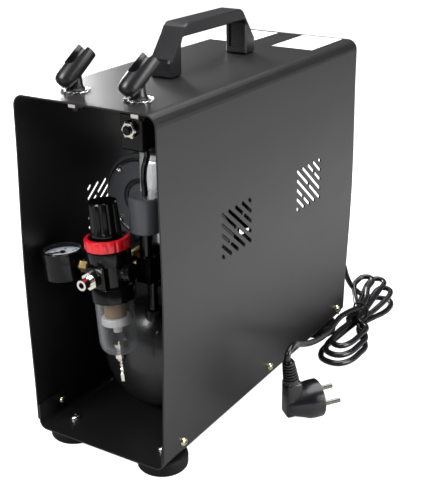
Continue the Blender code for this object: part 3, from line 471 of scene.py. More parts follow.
# ---- Sub-assemblies --------------------------------------------------------------------------------
@dataclass
class Studio:
    """Camera, lights and floor.

    Attributes:
        place: Camera from the case's lower front edge, at its middle.
        azimuth: Degrees round from the front.
        elevation: Degrees above level.
        lens: Focal length in millimetres on a 36 mm film.
        floor_size: Half the length of the floor's side.
        floor_drop: How far the floor lies under the feet.
    """

    place: Vector = field(default_factory=lambda: Vector((0.5024, -0.6115, 0.5129)))
    azimuth: float = 31.33
    elevation: float = 22.25
    lens: float = 70.9
    floor_size: float = 5.0
    floor_drop: float = 0.0002

    def camera(self) -> None:
        """Puts the camera in place."""
        low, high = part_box("cover")
        middle = (low.x + high.x) / 2
        data = bpy.data.cameras.new("camera")
        data.lens = self.lens
        data.sensor_width = 36.0
        data.sensor_fit = "AUTO"
        data.clip_start = 0.01
        obj = bpy.data.objects.new("camera", data)
        obj.location = Vector((middle, low.y, low.z)) + self.place
        obj.rotation_euler = (math.radians(90 - self.elevation), 0, math.radians(self.azimuth))
        bpy.context.scene.collection.objects.link(obj)
        bpy.context.scene.camera = obj

    def lamp(self, name: str, place: Sequence[float], aim: Sequence[float], size: float,
             power: float) -> None:
        """Adds a soft area light.

        Args:
            name: Light name.
            place: Where it is.
            aim: The point it faces.
            size: Edge of its square.
            power: Watts.
        """
        data = bpy.data.lights.new(name, "AREA")
        data.shape = "SQUARE"
        data.size = size
        data.energy = power
        obj = bpy.data.objects.new(name, data)
        obj.location = place
        obj.rotation_euler = (Vector(aim) - Vector(place)).to_track_quat("-Z", "Y").to_euler()
        bpy.context.scene.collection.objects.link(obj)

    def lights(self) -> None:
        """Soft light from above, the right and the front, in a pale room."""
        self.lamp("top", (0.15, 0.25, 1.8), (0, 0, 0.1), 1.9, 52)
        self.lamp("right", (1.80, 0.10, 0.62), (0, 0.05, 0.2), 1.1, 38)
        self.lamp("front", (-0.40, -1.40, 1.20), (0, -0.1, 0.2), 0.8, 30)
        self.lamp("back left", (-1.30, 0.82, 0.70), (-0.05, -0.15, 0.34), 0.70, 28)
        world = bpy.data.worlds.new("room")
        world.use_nodes = True
        tree, links = world.node_tree, world.node_tree.links
        tree.nodes["Background"].inputs["Color"].default_value = (0.10, 0.10, 0.105, 1.0)
        seen = add_node(tree, "Background", None, {"Color": WHITE})
        path = add_node(tree, "LightPath")
        mix = add_node(tree, "MixShader")
        links.new(path.outputs["Is Camera Ray"], mix.inputs["Fac"])
        links.new(tree.nodes["Background"].outputs[0], mix.inputs[1])
        links.new(seen.outputs[0], mix.inputs[2])
        links.new(mix.outputs[0], tree.nodes["World Output"].inputs["Surface"])
        bpy.context.scene.world = world
        bpy.context.scene.view_settings.view_transform = "Standard"

    def floor(self) -> None:
        """A pale plain floor just under the feet: evenly white to the camera, and to other rays a painted
        glow in a bright band along X, which the right side mirrors as its sheen.
        """
        bm = bmesh.new()
        bmesh.ops.create_grid(bm, x_segments=1, y_segments=1, size=self.floor_size)
        mesh = bpy.data.meshes.new("floor")
        bm.to_mesh(mesh)
        bm.free()
        obj = bpy.data.objects.new("floor", mesh)
        obj.location.z = -self.floor_drop
        look = bpy.data.materials.new("floor_white")
        look.use_nodes = True
        tree, links = look.node_tree, look.node_tree.links
        shader = tree.nodes["Principled BSDF"]
        shader.inputs["Base Color"].default_value = (0.30, 0.30, 0.30, 1.0)
        shader.inputs["Roughness"].default_value = 0.8
        shader.inputs["Emission Strength"].default_value = 1.0
        place = add_node(tree, "TexCoord")
        across = add_node(tree, "SeparateXYZ")
        # Painted light: for every ray but the camera's, the floor's emission follows this ramp along X. It
        # is a bright glowing band that stands in for light and puts a sheen on the right side.
        glow_band = add_node(tree, "ValToRGB")
        first, last = glow_band.color_ramp.elements
        first.position, first.color = 0.12, (0.08, 0.08, 0.08, 1.0)
        last.position, last.color = 0.90, (0.20, 0.20, 0.20, 1.0)
        for position, level in ((0.30, 0.85), (0.40, 0.75), (0.56, 0.35)):
            glow_band.color_ramp.elements.new(position).color = (level, level, level, 1.0)
        path = add_node(tree, "LightPath")
        glow = add_node(tree, "Mix")
        glow.data_type = "RGBA"
        glow.inputs["B"].default_value = WHITE
        links.new(place.outputs["Object"], across.inputs[0])
        links.new(across.outputs["X"], glow_band.inputs["Fac"])
        links.new(path.outputs["Is Camera Ray"], glow.inputs["Factor"])
        links.new(glow_band.outputs["Color"], glow.inputs["A"])
        links.new(glow.outputs["Result"], shader.inputs["Emission Color"])
        mesh.materials.append(look)
        bpy.context.scene.collection.objects.link(obj)


@dataclass
class MainsLead:
    """The lead from its gland through the tied hank to the plug.

    Attributes:
        diameter: Outside of the round flexible lead.
        layers: Heights of the hank's turns.
        waist: Back of the tie and the two sides of the bundle there.
        middle: X of the middle of the hank's front loops.
    """

    diameter: float = 0.0065
    layers: tuple[float, ...] = (0.0036, 0.0104, 0.0172, 0.0240)
    waist: tuple[float, float, float] = (0.392, 0.0880, 0.0965)
    middle: float = 0.1040

    def lead(self) -> list[tuple[float, float, float]]:
        """From inside the gland down behind the case to the rear of the hank."""
        return [(0.0580, 0.3760, 0.0713), (0.0580, 0.3860, 0.0713), (0.0580, 0.3950, 0.0713),
                (0.0580, 0.4010, 0.0706), (0.0580, 0.4080, 0.0678), (0.0580, 0.4135, 0.0635),
                (0.0580, 0.4175, 0.0583), (0.0583, 0.4202, 0.0520), (0.0593, 0.4235, 0.0440),
                (0.0612, 0.4300, 0.0330), (0.0645, 0.4400, 0.0215), (0.0700, 0.4520, 0.0115),
                (0.0790, 0.4650, 0.0050), (0.0895, 0.4710, 0.0037), (0.0995, 0.4690, 0.0036),
                (0.1055, 0.4590, 0.0036), (0.1075, 0.4450, 0.0036), (0.1060, 0.4300, 0.0036),
                (0.1010, 0.4130, 0.0036)]

    def turn(self, low: float, high: float, reach: float, half: float,
             fan: tuple[float, float, float]) -> list[tuple[float, float, float]]:
        """One turn of the hank: round the front at one height, then round the rear up to the next.

        Args:
            low: Height of this turn.
            high: Height of the next one.
            reach: Back of its front tip.
            half: Half its width at the front.
            fan: X, back and half-width of its rear loop's tip.

        Returns:
            Route points as (x, back, height).
        """
        back, left, right = self.waist
        x = self.middle
        tip_x, tip_back, tip_half = fan
        front = [(right, back), (right + 0.0035, back - 0.020), (x + half * 0.90, reach + 0.058),
                 (x + half, reach + 0.036), (x + half * 0.92, reach + 0.016),
                 (x + half * 0.55, reach + 0.003), (x, reach), (x - half * 0.58, reach + 0.004),
                 (x - half * 0.92, reach + 0.017), (x - half, reach + 0.036),
                 (x - half * 0.92, reach + 0.058), (left - 0.001, back - 0.022), (left, back)]
        rear = [((left + tip_x - tip_half) / 2, back + 0.022), (tip_x - tip_half, tip_back - 0.022),
                (tip_x - tip_half, tip_back - 0.0095), (tip_x - tip_half * 0.76, tip_back - 0.0032),
                (tip_x, tip_back), (tip_x + tip_half * 0.76, tip_back - 0.0032),
                (tip_x + tip_half, tip_back - 0.0095), (tip_x + tip_half, tip_back - 0.022),
                ((right + tip_x + tip_half) / 2, back + 0.022)]
        rise = (0.3, 0.8, 0.9, 1.0, 1.0, 1.0, 1.0, 1.0, 1.0)
        lift = (0.002, 0.007, 0.0095, 0.0108, 0.0115, 0.0108, 0.0095, 0.007, 0.002)
        return ([(px, py, low) for px, py in front]
                + [(px, py, low + (high - low) * share + extra)
                   for (px, py), share, extra in zip(rear, rise, lift)])

    def tail(self) -> list[tuple[float, float, float]]:
        """From the tie over the top of the hank and up to the plug's boot."""
        return [(0.0925, 0.3920, 0.0242), (0.0885, 0.3780, 0.0252), (0.0860, 0.3620, 0.0262),
                (0.0855, 0.3470, 0.0272), (0.0875, 0.3300, 0.0275), (0.0900, 0.3150, 0.0285),
                (0.0930, 0.2943, 0.0310), (0.0980, 0.2649, 0.0388), (0.1040, 0.2310, 0.0510),
                (0.1100, 0.1990, 0.0655), (0.1150, 0.1740, 0.0780), (0.1172, 0.1600, 0.0815),
                (0.1180, 0.1522, 0.0790), (0.1177, 0.1505, 0.0750), (0.1177, 0.1525, 0.0700)]

    def route(self) -> list[Vector]:
        """The whole centre line, from gland to plug."""
        a, b, c, d = self.layers
        points = [*self.lead(), *self.turn(a, b, 0.2830, 0.0200, (0.0955, 0.4640, 0.0095)),
                  *self.turn(b, c, 0.2900, 0.0165, (0.0830, 0.4720, 0.0095)),
                  *self.turn(c, d, 0.3000, 0.0125, (0.0740, 0.4560, 0.0092)), *self.tail()]
        return smooth_route([floor_point(*p) for p in points], 0.0042)

    def tie(self) -> None:
        """Twisted wire tie round the waist of the hank."""
        back, left, right = self.waist
        edge = self.diameter / 2 + 0.0008
        x0, x1, z0, z1 = left - edge, right + edge, 0.0012, self.layers[-1] + edge + 0.0004
        loop = [(x0, z0 + 0.003), (x0, z1 - 0.004), (x0 + 0.004, z1), (x1 - 0.004, z1),
                (x1, z1 - 0.004), (x1, z0 + 0.003), (x1 - 0.003, z0), (x0 + 0.003, z0),
                (x0, z0 + 0.0028)]
        points = [floor_point(x, back + 0.0006 * math.sin(i), z) for i, (x, z) in enumerate(loop)]
        end = [floor_point(x1 + out, back - ahead, z1 - down)
               for out, ahead, down in ((0.003, 0.004, 0.004), (0.006, 0.011, 0.009), (0.004, 0.018, 0.012))]
        tube("cord_tie", smooth_route([*points, *points[1:4], *end], 0.003), 0.0011, "rubber", Body.CASE)

    def build(self) -> None:
        path = self.route()
        lead = tube("mains_lead", path, self.diameter / 2, "cord", Body.CASE)
        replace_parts(lead, "cord_lead", "cord_hank", "cord_tail")
        self.tie()


def dress_nodes(record: dict) -> None:
    """Gives every CAD node the finish of its slot in the record.

    Args:
        record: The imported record.
    """
    for part in record["subparts"]:
        dress(part["node"], part["material_slot"])


@dataclass
class CaseScrews:
    """Domed heads of the six side screws.

    Attributes:
        radius: Head radius.
        backs: Places along the case.
        up: Height above the cover's lower edge.
        sunk: Depth of a head's seat inside the solid screws' outer face.
        nut_depth: Depth of the nuts' outer face inside that same face.
    """

    radius: float = 0.0045
    backs: tuple[float, ...] = (0.031, 0.197, 0.363)
    up: float = 0.007
    sunk: float = 0.0025
    nut_depth: float = 0.0068

    def build(self) -> None:
        """Makes the six heads, and the nuts inside the walls, as one group."""
        low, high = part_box("base_tray")
        bm = bmesh.new()
        head = [(0.0, 0.0015), (0.0014, 0.0015), (0.0017, 0.0027), (0.0030, 0.0024),
                (0.0040, 0.0015), (self.radius, 0.0003), (self.radius, 0.0), (0.0, 0.0)]
        nut = [(0, 0.0030), (0.0034, 0.0030), (0.0040, 0.0024), (0.0040, 0), (0, 0)]
        for side, face in ((-1, low.x), (1, high.x)):
            outward = Vector((side, 0, 0))
            for back in self.backs:
                seat = case_point(face - side * self.sunk, back, self.up)
                spun(bm, head, facing(seat, outward), 24)
                inner = case_point(side * (abs(face) - self.nut_depth), back, self.up)
                spun(bm, nut, facing(inner, -outward), 6)
        piece("side_screw_heads", bm, "screw_plate", Body.CASE, 50)


@dataclass
class Regulator:
    """Detail of the filter regulator, in its own leaning frame about its ports.

    Attributes:
        ports: X, distance back and height of the port centre on the case.
        gauge_x: Place of the gauge's centre along the leaning X axis.
        ribs: Grip ribs round the knob.
        notches: Notches round the lock ring.
        marks: Steps of the gauge's scale.
        face_height: Height of the scale in the gauge's own frame.
    """

    ports: tuple[float, float, float] = (0.0025, 0.026, 0.165)
    gauge_x: float = -0.054
    ribs: int = 14
    notches: int = 18
    marks: int = 40
    face_height: float = 0.00915

    def frame(self) -> Matrix:
        """Leaning frame of the regulator in the row frame."""
        return Matrix.Translation(case_point(*self.ports)) @ Matrix.Rotation(LEAN, 4, "Y")

    def gauge(self) -> Matrix:
        """Leaning frame of the gauge, at the middle of its case."""
        return self.frame() @ Matrix.Translation((self.gauge_x, 0, 0))

    def rib(self, verts: Iterable[bmesh.types.BMVert], count: int, depth: float,
            low: float, high: float, inner: float) -> None:
        """Presses grip grooves into a turned surface that is still about Z.

        Args:
            verts: Vertices of the turned shape.
            count: Grooves round it.
            depth: Depth of each groove.
            low: Lowest height that is grooved.
            high: Highest height that is grooved.
            inner: Only vertices beyond this radius move.
        """
        for vert in verts:
            radius = math.hypot(vert.co.x, vert.co.y)
            if radius > inner and low < vert.co.z < high:
                wave = math.cos(count * math.atan2(vert.co.y, vert.co.x))
                shrink = 1 - depth * max(0.0, -wave) ** 0.6 / radius
                vert.co.x *= shrink
                vert.co.y *= shrink

    def knob(self) -> None:
        """Adjusting knob with broad upright grip ribs."""
        bm = bmesh.new()
        profile = [(0, 0.0641), (0.0100, 0.0641), (0.0106, 0.0645), (0.0118, 0.0644), (0.0127, 0.0634),
                   (0.0131, 0.0618), (0.0134, 0.0540), (0.0136, 0.0440), (0.0138, 0.0372),
                   (0.0141, 0.0364), (0.0143, 0.0354), (0.0143, 0.0336), (0.0140, 0.0332),
                   (0.0033, 0.0332), (0.0033, 0.0600), (0, 0.0600)]
        verts = spun(bm, profile, steps=168)
        self.rib(verts, self.ribs, 0.0009, 0.0368, 0.0630, 0.0120)
        bmesh.ops.transform(bm, matrix=self.frame(), verts=verts)
        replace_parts(piece("ribbed_knob", bm, "black_plastic", Body.KNOB), "pressure_knob")

    def ring(self) -> None:
        """Red lock ring with a notched rim."""
        bm = bmesh.new()
        profile = [(0.0170, 0.0318), (0.0192, 0.0318), (0.0200, 0.0314), (0.0205, 0.0304),
                   (0.0205, 0.0265), (0.0205, 0.0227), (0.0200, 0.0216), (0.0192, 0.0213),
                   (0.0170, 0.0213)]
        verts = spun(bm, profile, steps=144)
        self.rib(verts, self.notches, 0.0008, 0.0218, 0.0309, 0.0198)
        bmesh.ops.transform(bm, matrix=self.frame(), verts=verts)
        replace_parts(piece("notched_lock_ring", bm, "red_plastic", Body.CASE), "lock_ring")

    def reading(self, share: float) -> float:
        """Angle on the dial, in radians, of a share of the full scale."""
        return math.radians(225 - 270 * share)

    def dial_marks(self) -> None:
        """Scale marks and plain numbers on the gauge's dial, and its clear window."""
        centre = self.gauge()
        bm = bmesh.new()
        for index in range(self.marks + 1):
            angle = self.reading(index / self.marks)
            long = index % 8 == 0
            size = (0.0030 if long else 0.0017, 0.0006 if long else 0.0003, 0.0002)
            spot = Matrix.Translation((0.0155 - size[0] / 2, 0, self.face_height))
            block(bm, size, centre @ Matrix.Rotation(angle, 4, "Z") @ spot)
        for index in range(6):
            angle = self.reading(index / 5)
            text = bpy.data.curves.new("number", "FONT")
            text.body = str(2 * index)
            text.size = 0.0040
            text.align_x = "CENTER"
            text.align_y = "CENTER"
            text.extrude = 0.0001
            helper = bpy.data.objects.new("number", text)
            bpy.context.scene.collection.objects.link(helper)
            helper.location = (0.0105 * math.cos(angle), 0.0105 * math.sin(angle), self.face_height)
            bpy.context.view_layer.update()
            shape = bpy.data.meshes.new_from_object(
                helper.evaluated_get(bpy.context.evaluated_depsgraph_get()))
            shape.transform(centre @ helper.matrix_world)
            bm.from_mesh(shape)
            bpy.data.objects.remove(helper, do_unlink=True)
            bpy.data.meshes.remove(shape)
        piece("gauge_scale", bm, "ink", Body.CASE, 30)
        glass = bmesh.new()
        spun(glass, [(0, 0.0130), (0.0160, 0.0129), (0.0174, 0.0125), (0.0174, 0.0118), (0, 0.0118)],
             centre, 64)
        piece("gauge_window", glass, "window", Body.CASE)

    def shells(self) -> None:
        """Smooth bonnet, body, bowl and gauge case in place of the coarser solids."""
        frame = self.frame()
        bonnet = bmesh.new()
        spun(bonnet, [(0.0034, 0.0315), (0.0150, 0.0315), (0.0162, 0.0311), (0.0166, 0.0300),
                      (0.0166, 0.0213), (0.0034, 0.0213)], frame, 72)
        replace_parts(piece("turned_bonnet", bonnet, "black_plastic", Body.CASE), "regulator_bonnet")
        body = bmesh.new()
        spun(body, [(0.0042, 0.0210), (0.0190, 0.0210), (0.0198, 0.0204), (0.0200, 0.0192),
                    (0.0200, 0.0088), (0.0196, 0.0082), (0.0170, 0.0080), (0.0170, -0.0115),
                    (0.0196, -0.0122), (0.0205, -0.0136), (0.0205, -0.0256), (0.0198, -0.0265),
                    (0.0182, -0.0265), (0.0182, -0.0180), (0.0042, -0.0180)], frame, 96)
        block(body, (0.0180, 0.0430, 0.0210), frame @ Matrix.Translation((0, 0, -0.0010)), 0.0016, 3)
        for side in (-1, 1):
            spun(body, [(0.0050, 0.0125), (0.0050, 0.0212), (0.0056, 0.0215), (0.0084, 0.0215),
                        (0.0092, 0.0206), (0.0092, 0.0125)],
                 frame @ facing(Vector((0, 0, 0)), Vector((side, 0, 0))), 48)
        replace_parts(piece("turned_regulator_body", body, "black_anodised", Body.CASE), "regulator_body")
        bowl = bmesh.new()
        spun(bowl, [(0.0156, -0.0240), (0.0176, -0.0240), (0.0176, -0.0650), (0.0174, -0.0690),
                    (0.0168, -0.0722), (0.0156, -0.0752), (0.0138, -0.0776), (0.0112, -0.0794),
                    (0.0080, -0.0805), (0.0040, -0.0810), (0.0040, -0.0780), (0.0078, -0.0778),
                    (0.0105, -0.0768), (0.0127, -0.0748), (0.0144, -0.0722), (0.0153, -0.0690),
                    (0.0156, -0.0650)], frame, 96)
        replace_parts(piece("clear_bowl", bowl, "clear_plastic", Body.CASE, 50), "filter_bowl")
        gauge = bmesh.new()
        centre = self.gauge()
        spun(gauge, [(0, 0.0078), (0.0176, 0.0078), (0.0176, 0.0133), (0.0180, 0.0135), (0.0190, 0.0135),
                     (0.0195, 0.0130), (0.0195, -0.0120), (0.0192, -0.0128), (0.0184, -0.0134),
                     (0.0170, -0.0135), (0, -0.0135)], centre, 96)
        spun(gauge, [(0, 0.0219), (0.0048, 0.0219), (0.0052, 0.0215), (0.0052, 0.0178), (0, 0.0178)],
             centre @ facing(Vector((0, 0, 0)), Vector((1, 0, 0))), 32)
        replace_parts(piece("turned_gauge_case", gauge, "black_plastic", Body.CASE), "gauge_case")

    def bezel(self) -> None:
        """Rolled bezel line and rear seam of the gauge's case."""
        centre = self.gauge()
        bm = bmesh.new()
        spun(bm, [(0.0176, 0.0136), (0.0192, 0.0136), (0.0197, 0.0130), (0.0197, 0.0034),
                  (0.0195, 0.0030), (0.0176, 0.0030)], centre, 72)
        piece("gauge_bezel", bm, "black_plastic", Body.CASE)

    def build(self) -> None:
        """Makes every piece of the regulator's detail."""
        for make in (self.knob, self.ring, self.shells, self.dial_marks, self.bezel):
            make()


@dataclass
class Plug:
    """Angled mains plug with a ribbed boot.

    Attributes:
        face: Middle of its face as (x, back, height).
        axis: Direction of its pins.
        boot: Direction in which the lead leaves it.
        pin_line: Direction from one pin to the other.
        grip_back: Middle of the grip behind the face.
        boot_end: Where the lead leaves the boot, as (x, back, height).
        boot_ribs: Ribs along the boot.
    """

    face: tuple[float, float, float] = (0.1382, 0.1825, 0.0205)
    axis: Vector = field(default_factory=lambda: Vector((0.62, 0.78, 0.05)).normalized())
    boot: Vector = field(default_factory=lambda: Vector((0.0, -0.13, 0.99)).normalized())
    pin_line: Vector = field(default_factory=lambda: Vector((0.742, -0.556, -0.375)).normalized())
    grip_back: float = 0.0290
    boot_end: tuple[float, float, float] = (0.1177, 0.1525, 0.0713)
    boot_ribs: int = 7

    def boot_rings(self, length: float) -> list[tuple[float, float]]:
        """Profile of the ribbed boot, wider toward the grip.

        Args:
            length: Height of its end above the grip.

        Returns:
            (radius, z) points.
        """
        rings = [(0.0, length), (0.0048, length), (0.0052, length - 0.0006)]
        for index in range(self.boot_ribs):
            top = length - 0.0012 - index * 0.0030
            wide = 0.0060 + 0.00028 * index
            rings += [(wide - 0.0012, top), (wide - 0.0012, top - 0.0010),
                      (wide + 0.0003, top - 0.0014), (wide + 0.0003, top - 0.0026)]
        return [*rings, (0.0078, 0.0040), (0.0082, -0.0010), (0, -0.0010)]

    def body(self) -> None:
        """Round front, square grip and ribbed boot."""
        face = floor_point(*self.face)
        bm = bmesh.new()
        spun(bm, [(0, -0.0014), (0.0148, -0.0014), (0.0156, 0), (0.0186, 0), (0.0194, -0.0008),
                  (0.0195, -0.0080), (0.0189, -0.0140), (0.0172, -0.0180), (0.0135, -0.0290),
                  (0.0110, -0.0350), (0.0085, -0.0366), (0, -0.0366)],
             facing(face, self.axis, self.boot), 56)
        grip = face - self.grip_back * self.axis
        block(bm, (0.0172, 0.0400, 0.0165), facing(grip + 0.0080 * self.boot, self.axis, self.boot),
              0.0030, 3)
        neck = grip + 0.0270 * self.boot
        run = floor_point(*self.boot_end) - 0.0010 * self.boot - neck
        spun(bm, self.boot_rings(run.length), facing(neck, run, self.axis), 40)
        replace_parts(piece("angled_plug", bm, "cord", Body.CASE, 40), "plug_body")

    def clips(self) -> None:
        """Earth clips on the rim and the collars at the foot of the pins."""
        frame = facing(floor_point(*self.face), self.axis, self.pin_line)
        bm = bmesh.new()
        for side in (-1, 1):
            for size, out, height, bevel in (((0.0012, 0.0050, 0.0100), 0.0168, -0.0040, 0.0004),
                                             ((0.0030, 0.0046, 0.0009), 0.0160, 0.0004, 0.0003)):
                block(bm, size, frame @ Matrix.Translation((side * out, 0, height)), bevel)
        piece("earth_clips", bm, "nickel", Body.CASE)
        sleeves = bmesh.new()
        for side in (-1, 1):
            spun(sleeves, [(0, 0.0004), (0.0036, 0.0004), (0.0040, 0), (0.0040, -0.0016), (0, -0.0016)],
                 frame @ Matrix.Translation((0, side * 0.0095, 0)), 24)
        piece("pin_collars", sleeves, "cord", Body.CASE)

    def build(self) -> None:
        """Makes the plug."""
        self.body()
        self.clips()


@dataclass
class PumpDetail:
    """Screws, rims and labels on the pump, the switch and the tray.

    Attributes:
        shaft: Front end of the motor's axis, as (x, back, up) from the cover's lower front edge.
        bell_screws: Radius of the circle of bell screws.
        button: Middle of the power button's seat, in the same way.
        silencer: Middle of the intake silencer, in the same way.
        labels: Left, right, front and back edges of the labels on the top.
    """

    shaft: tuple[float, float, float] = (-0.015, 0.100, 0.207)
    bell_screws: float = 0.0345
    button: tuple[float, float, float] = (0.0160, 0.0440, 0.2910)
    silencer: tuple[float, float, float] = (0.0440, 0.2100, 0.1800)
    labels: tuple[tuple[float, float, float, float], ...] = ((-0.064, -0.020, 0.304, 0.376),
                                                             (0.011, 0.058, 0.304, 0.378))

    def motor_face(self) -> None:
        """Four bell screws and the raised rims of the motor's front."""
        x, back, up = self.shaft
        screws = bmesh.new()
        for index in range(4):
            angle = math.radians(45 + 90 * index)
            spot = case_point(x + self.bell_screws * math.cos(angle), back,
                              up + self.bell_screws * math.sin(angle))
            spun(screws, [(0, 0.0012), (0.0012, 0.0012), (0.0015, 0.0026), (0.0028, 0.0024),
                          (0.0036, 0.0012), (0.0038, -0.0004), (0, -0.0004)], facing(spot, FORWARD), 20)
        piece("motor_screws", screws, "nickel", Body.CASE)
        rim = bmesh.new()
        place = facing(case_point(x, back, up), FORWARD)
        spun(rim, [(0.0150, 0.0016), (0.0170, 0.0022), (0.0190, 0.0016), (0.0195, -0.0005),
                   (0.0145, -0.0005)], place, 64)
        spun(rim, [(0.0355, 0.0002), (0.0372, 0.0010), (0.0392, 0.0004), (0.0396, -0.0012),
                   (0.0350, -0.0012)], place, 72)
        piece("motor_rims", rim, "tank_paint", Body.CASE)

    def switch_nut(self) -> None:
        """Bright hexagon nut round the power button."""
        bm = bmesh.new()
        spun(bm, [(0.0046, 0.0037), (0.0066, 0.0037), (0.00825, 0.0030), (0.00825, 0.0),
                  (0.0046, 0.0)], facing(case_point(*self.button), FORWARD), 6)
        piece("switch_nut_face", bm, "nickel", Body.CASE, 20)

    def tray_bolts(self) -> None:
        """Bright heads of the four foot bolts on the tray's floor."""
        bm = bmesh.new()
        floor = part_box(FEET[0])[1].z + 0.0018
        for node in FEET:
            spot = middle_of(node)
            spot.z = floor
            spun(bm, [(0, 0.0022), (0.0016, 0.0022), (0.0019, 0.0037), (0.0036, 0.0033),
                      (0.0050, 0.0016), (0.0051, 0), (0, 0)], Matrix.Translation(spot), 24)
        piece("foot_bolt_heads", bm, "nickel", Body.CASE, 50)

    def intake(self) -> None:
        """Black intake silencer on a short neck beside the crankcase."""
        bm = bmesh.new()
        centre = case_point(*self.silencer)
        spun(bm, [(0, 0.0290), (0.0170, 0.0290), (0.0185, 0.0282), (0.0192, 0.0265), (0.0192, 0.0120),
                  (0.0186, 0.0116), (0.0186, 0.0104), (0.0192, 0.0100), (0.0192, -0.0265),
                  (0.0185, -0.0282), (0.0170, -0.0290), (0, -0.0290)], facing(centre, BACKWARD), 64)
        spun(bm, [(0, 0.0245), (0.0050, 0.0245), (0.0055, 0.0150), (0, 0.0150)],
             facing(centre, Vector((-1, 0, 0))), 32)
        piece("intake_silencer", bm, "black_plastic", Body.CASE)

    def terminals(self) -> None:
        """Two flat terminals on top of the capacitor."""
        bm = bmesh.new()
        for side in (-1, 1):
            spot = middle_of("run_capacitor", True) + Vector((side * 0.005, 0, 0.003))
            block(bm, (0.0008, 0.0060, 0.0080), Matrix.Translation(spot), 0.0002)
        piece("capacitor_terminals", bm, "brass", Body.CASE)

    def blank_labels(self) -> None:
        """Two blank paper labels at the rear of the top."""
        low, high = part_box("cover")
        bm = bmesh.new()
        for left, right, front, rear in self.labels:
            middle = case_point((left + right) / 2, (front + rear) / 2, high.z - low.z + 0.00006)
            block(bm, (right - left, rear - front, 0.0001), Matrix.Translation(middle))
        piece("blank_labels", bm, "paper", Body.CASE)

    def build(self) -> None:
        """Makes every piece of the pump's detail."""
        for make in (self.motor_face, self.switch_nut, self.tray_bolts, self.intake, self.terminals,
                     self.blank_labels):
            make()


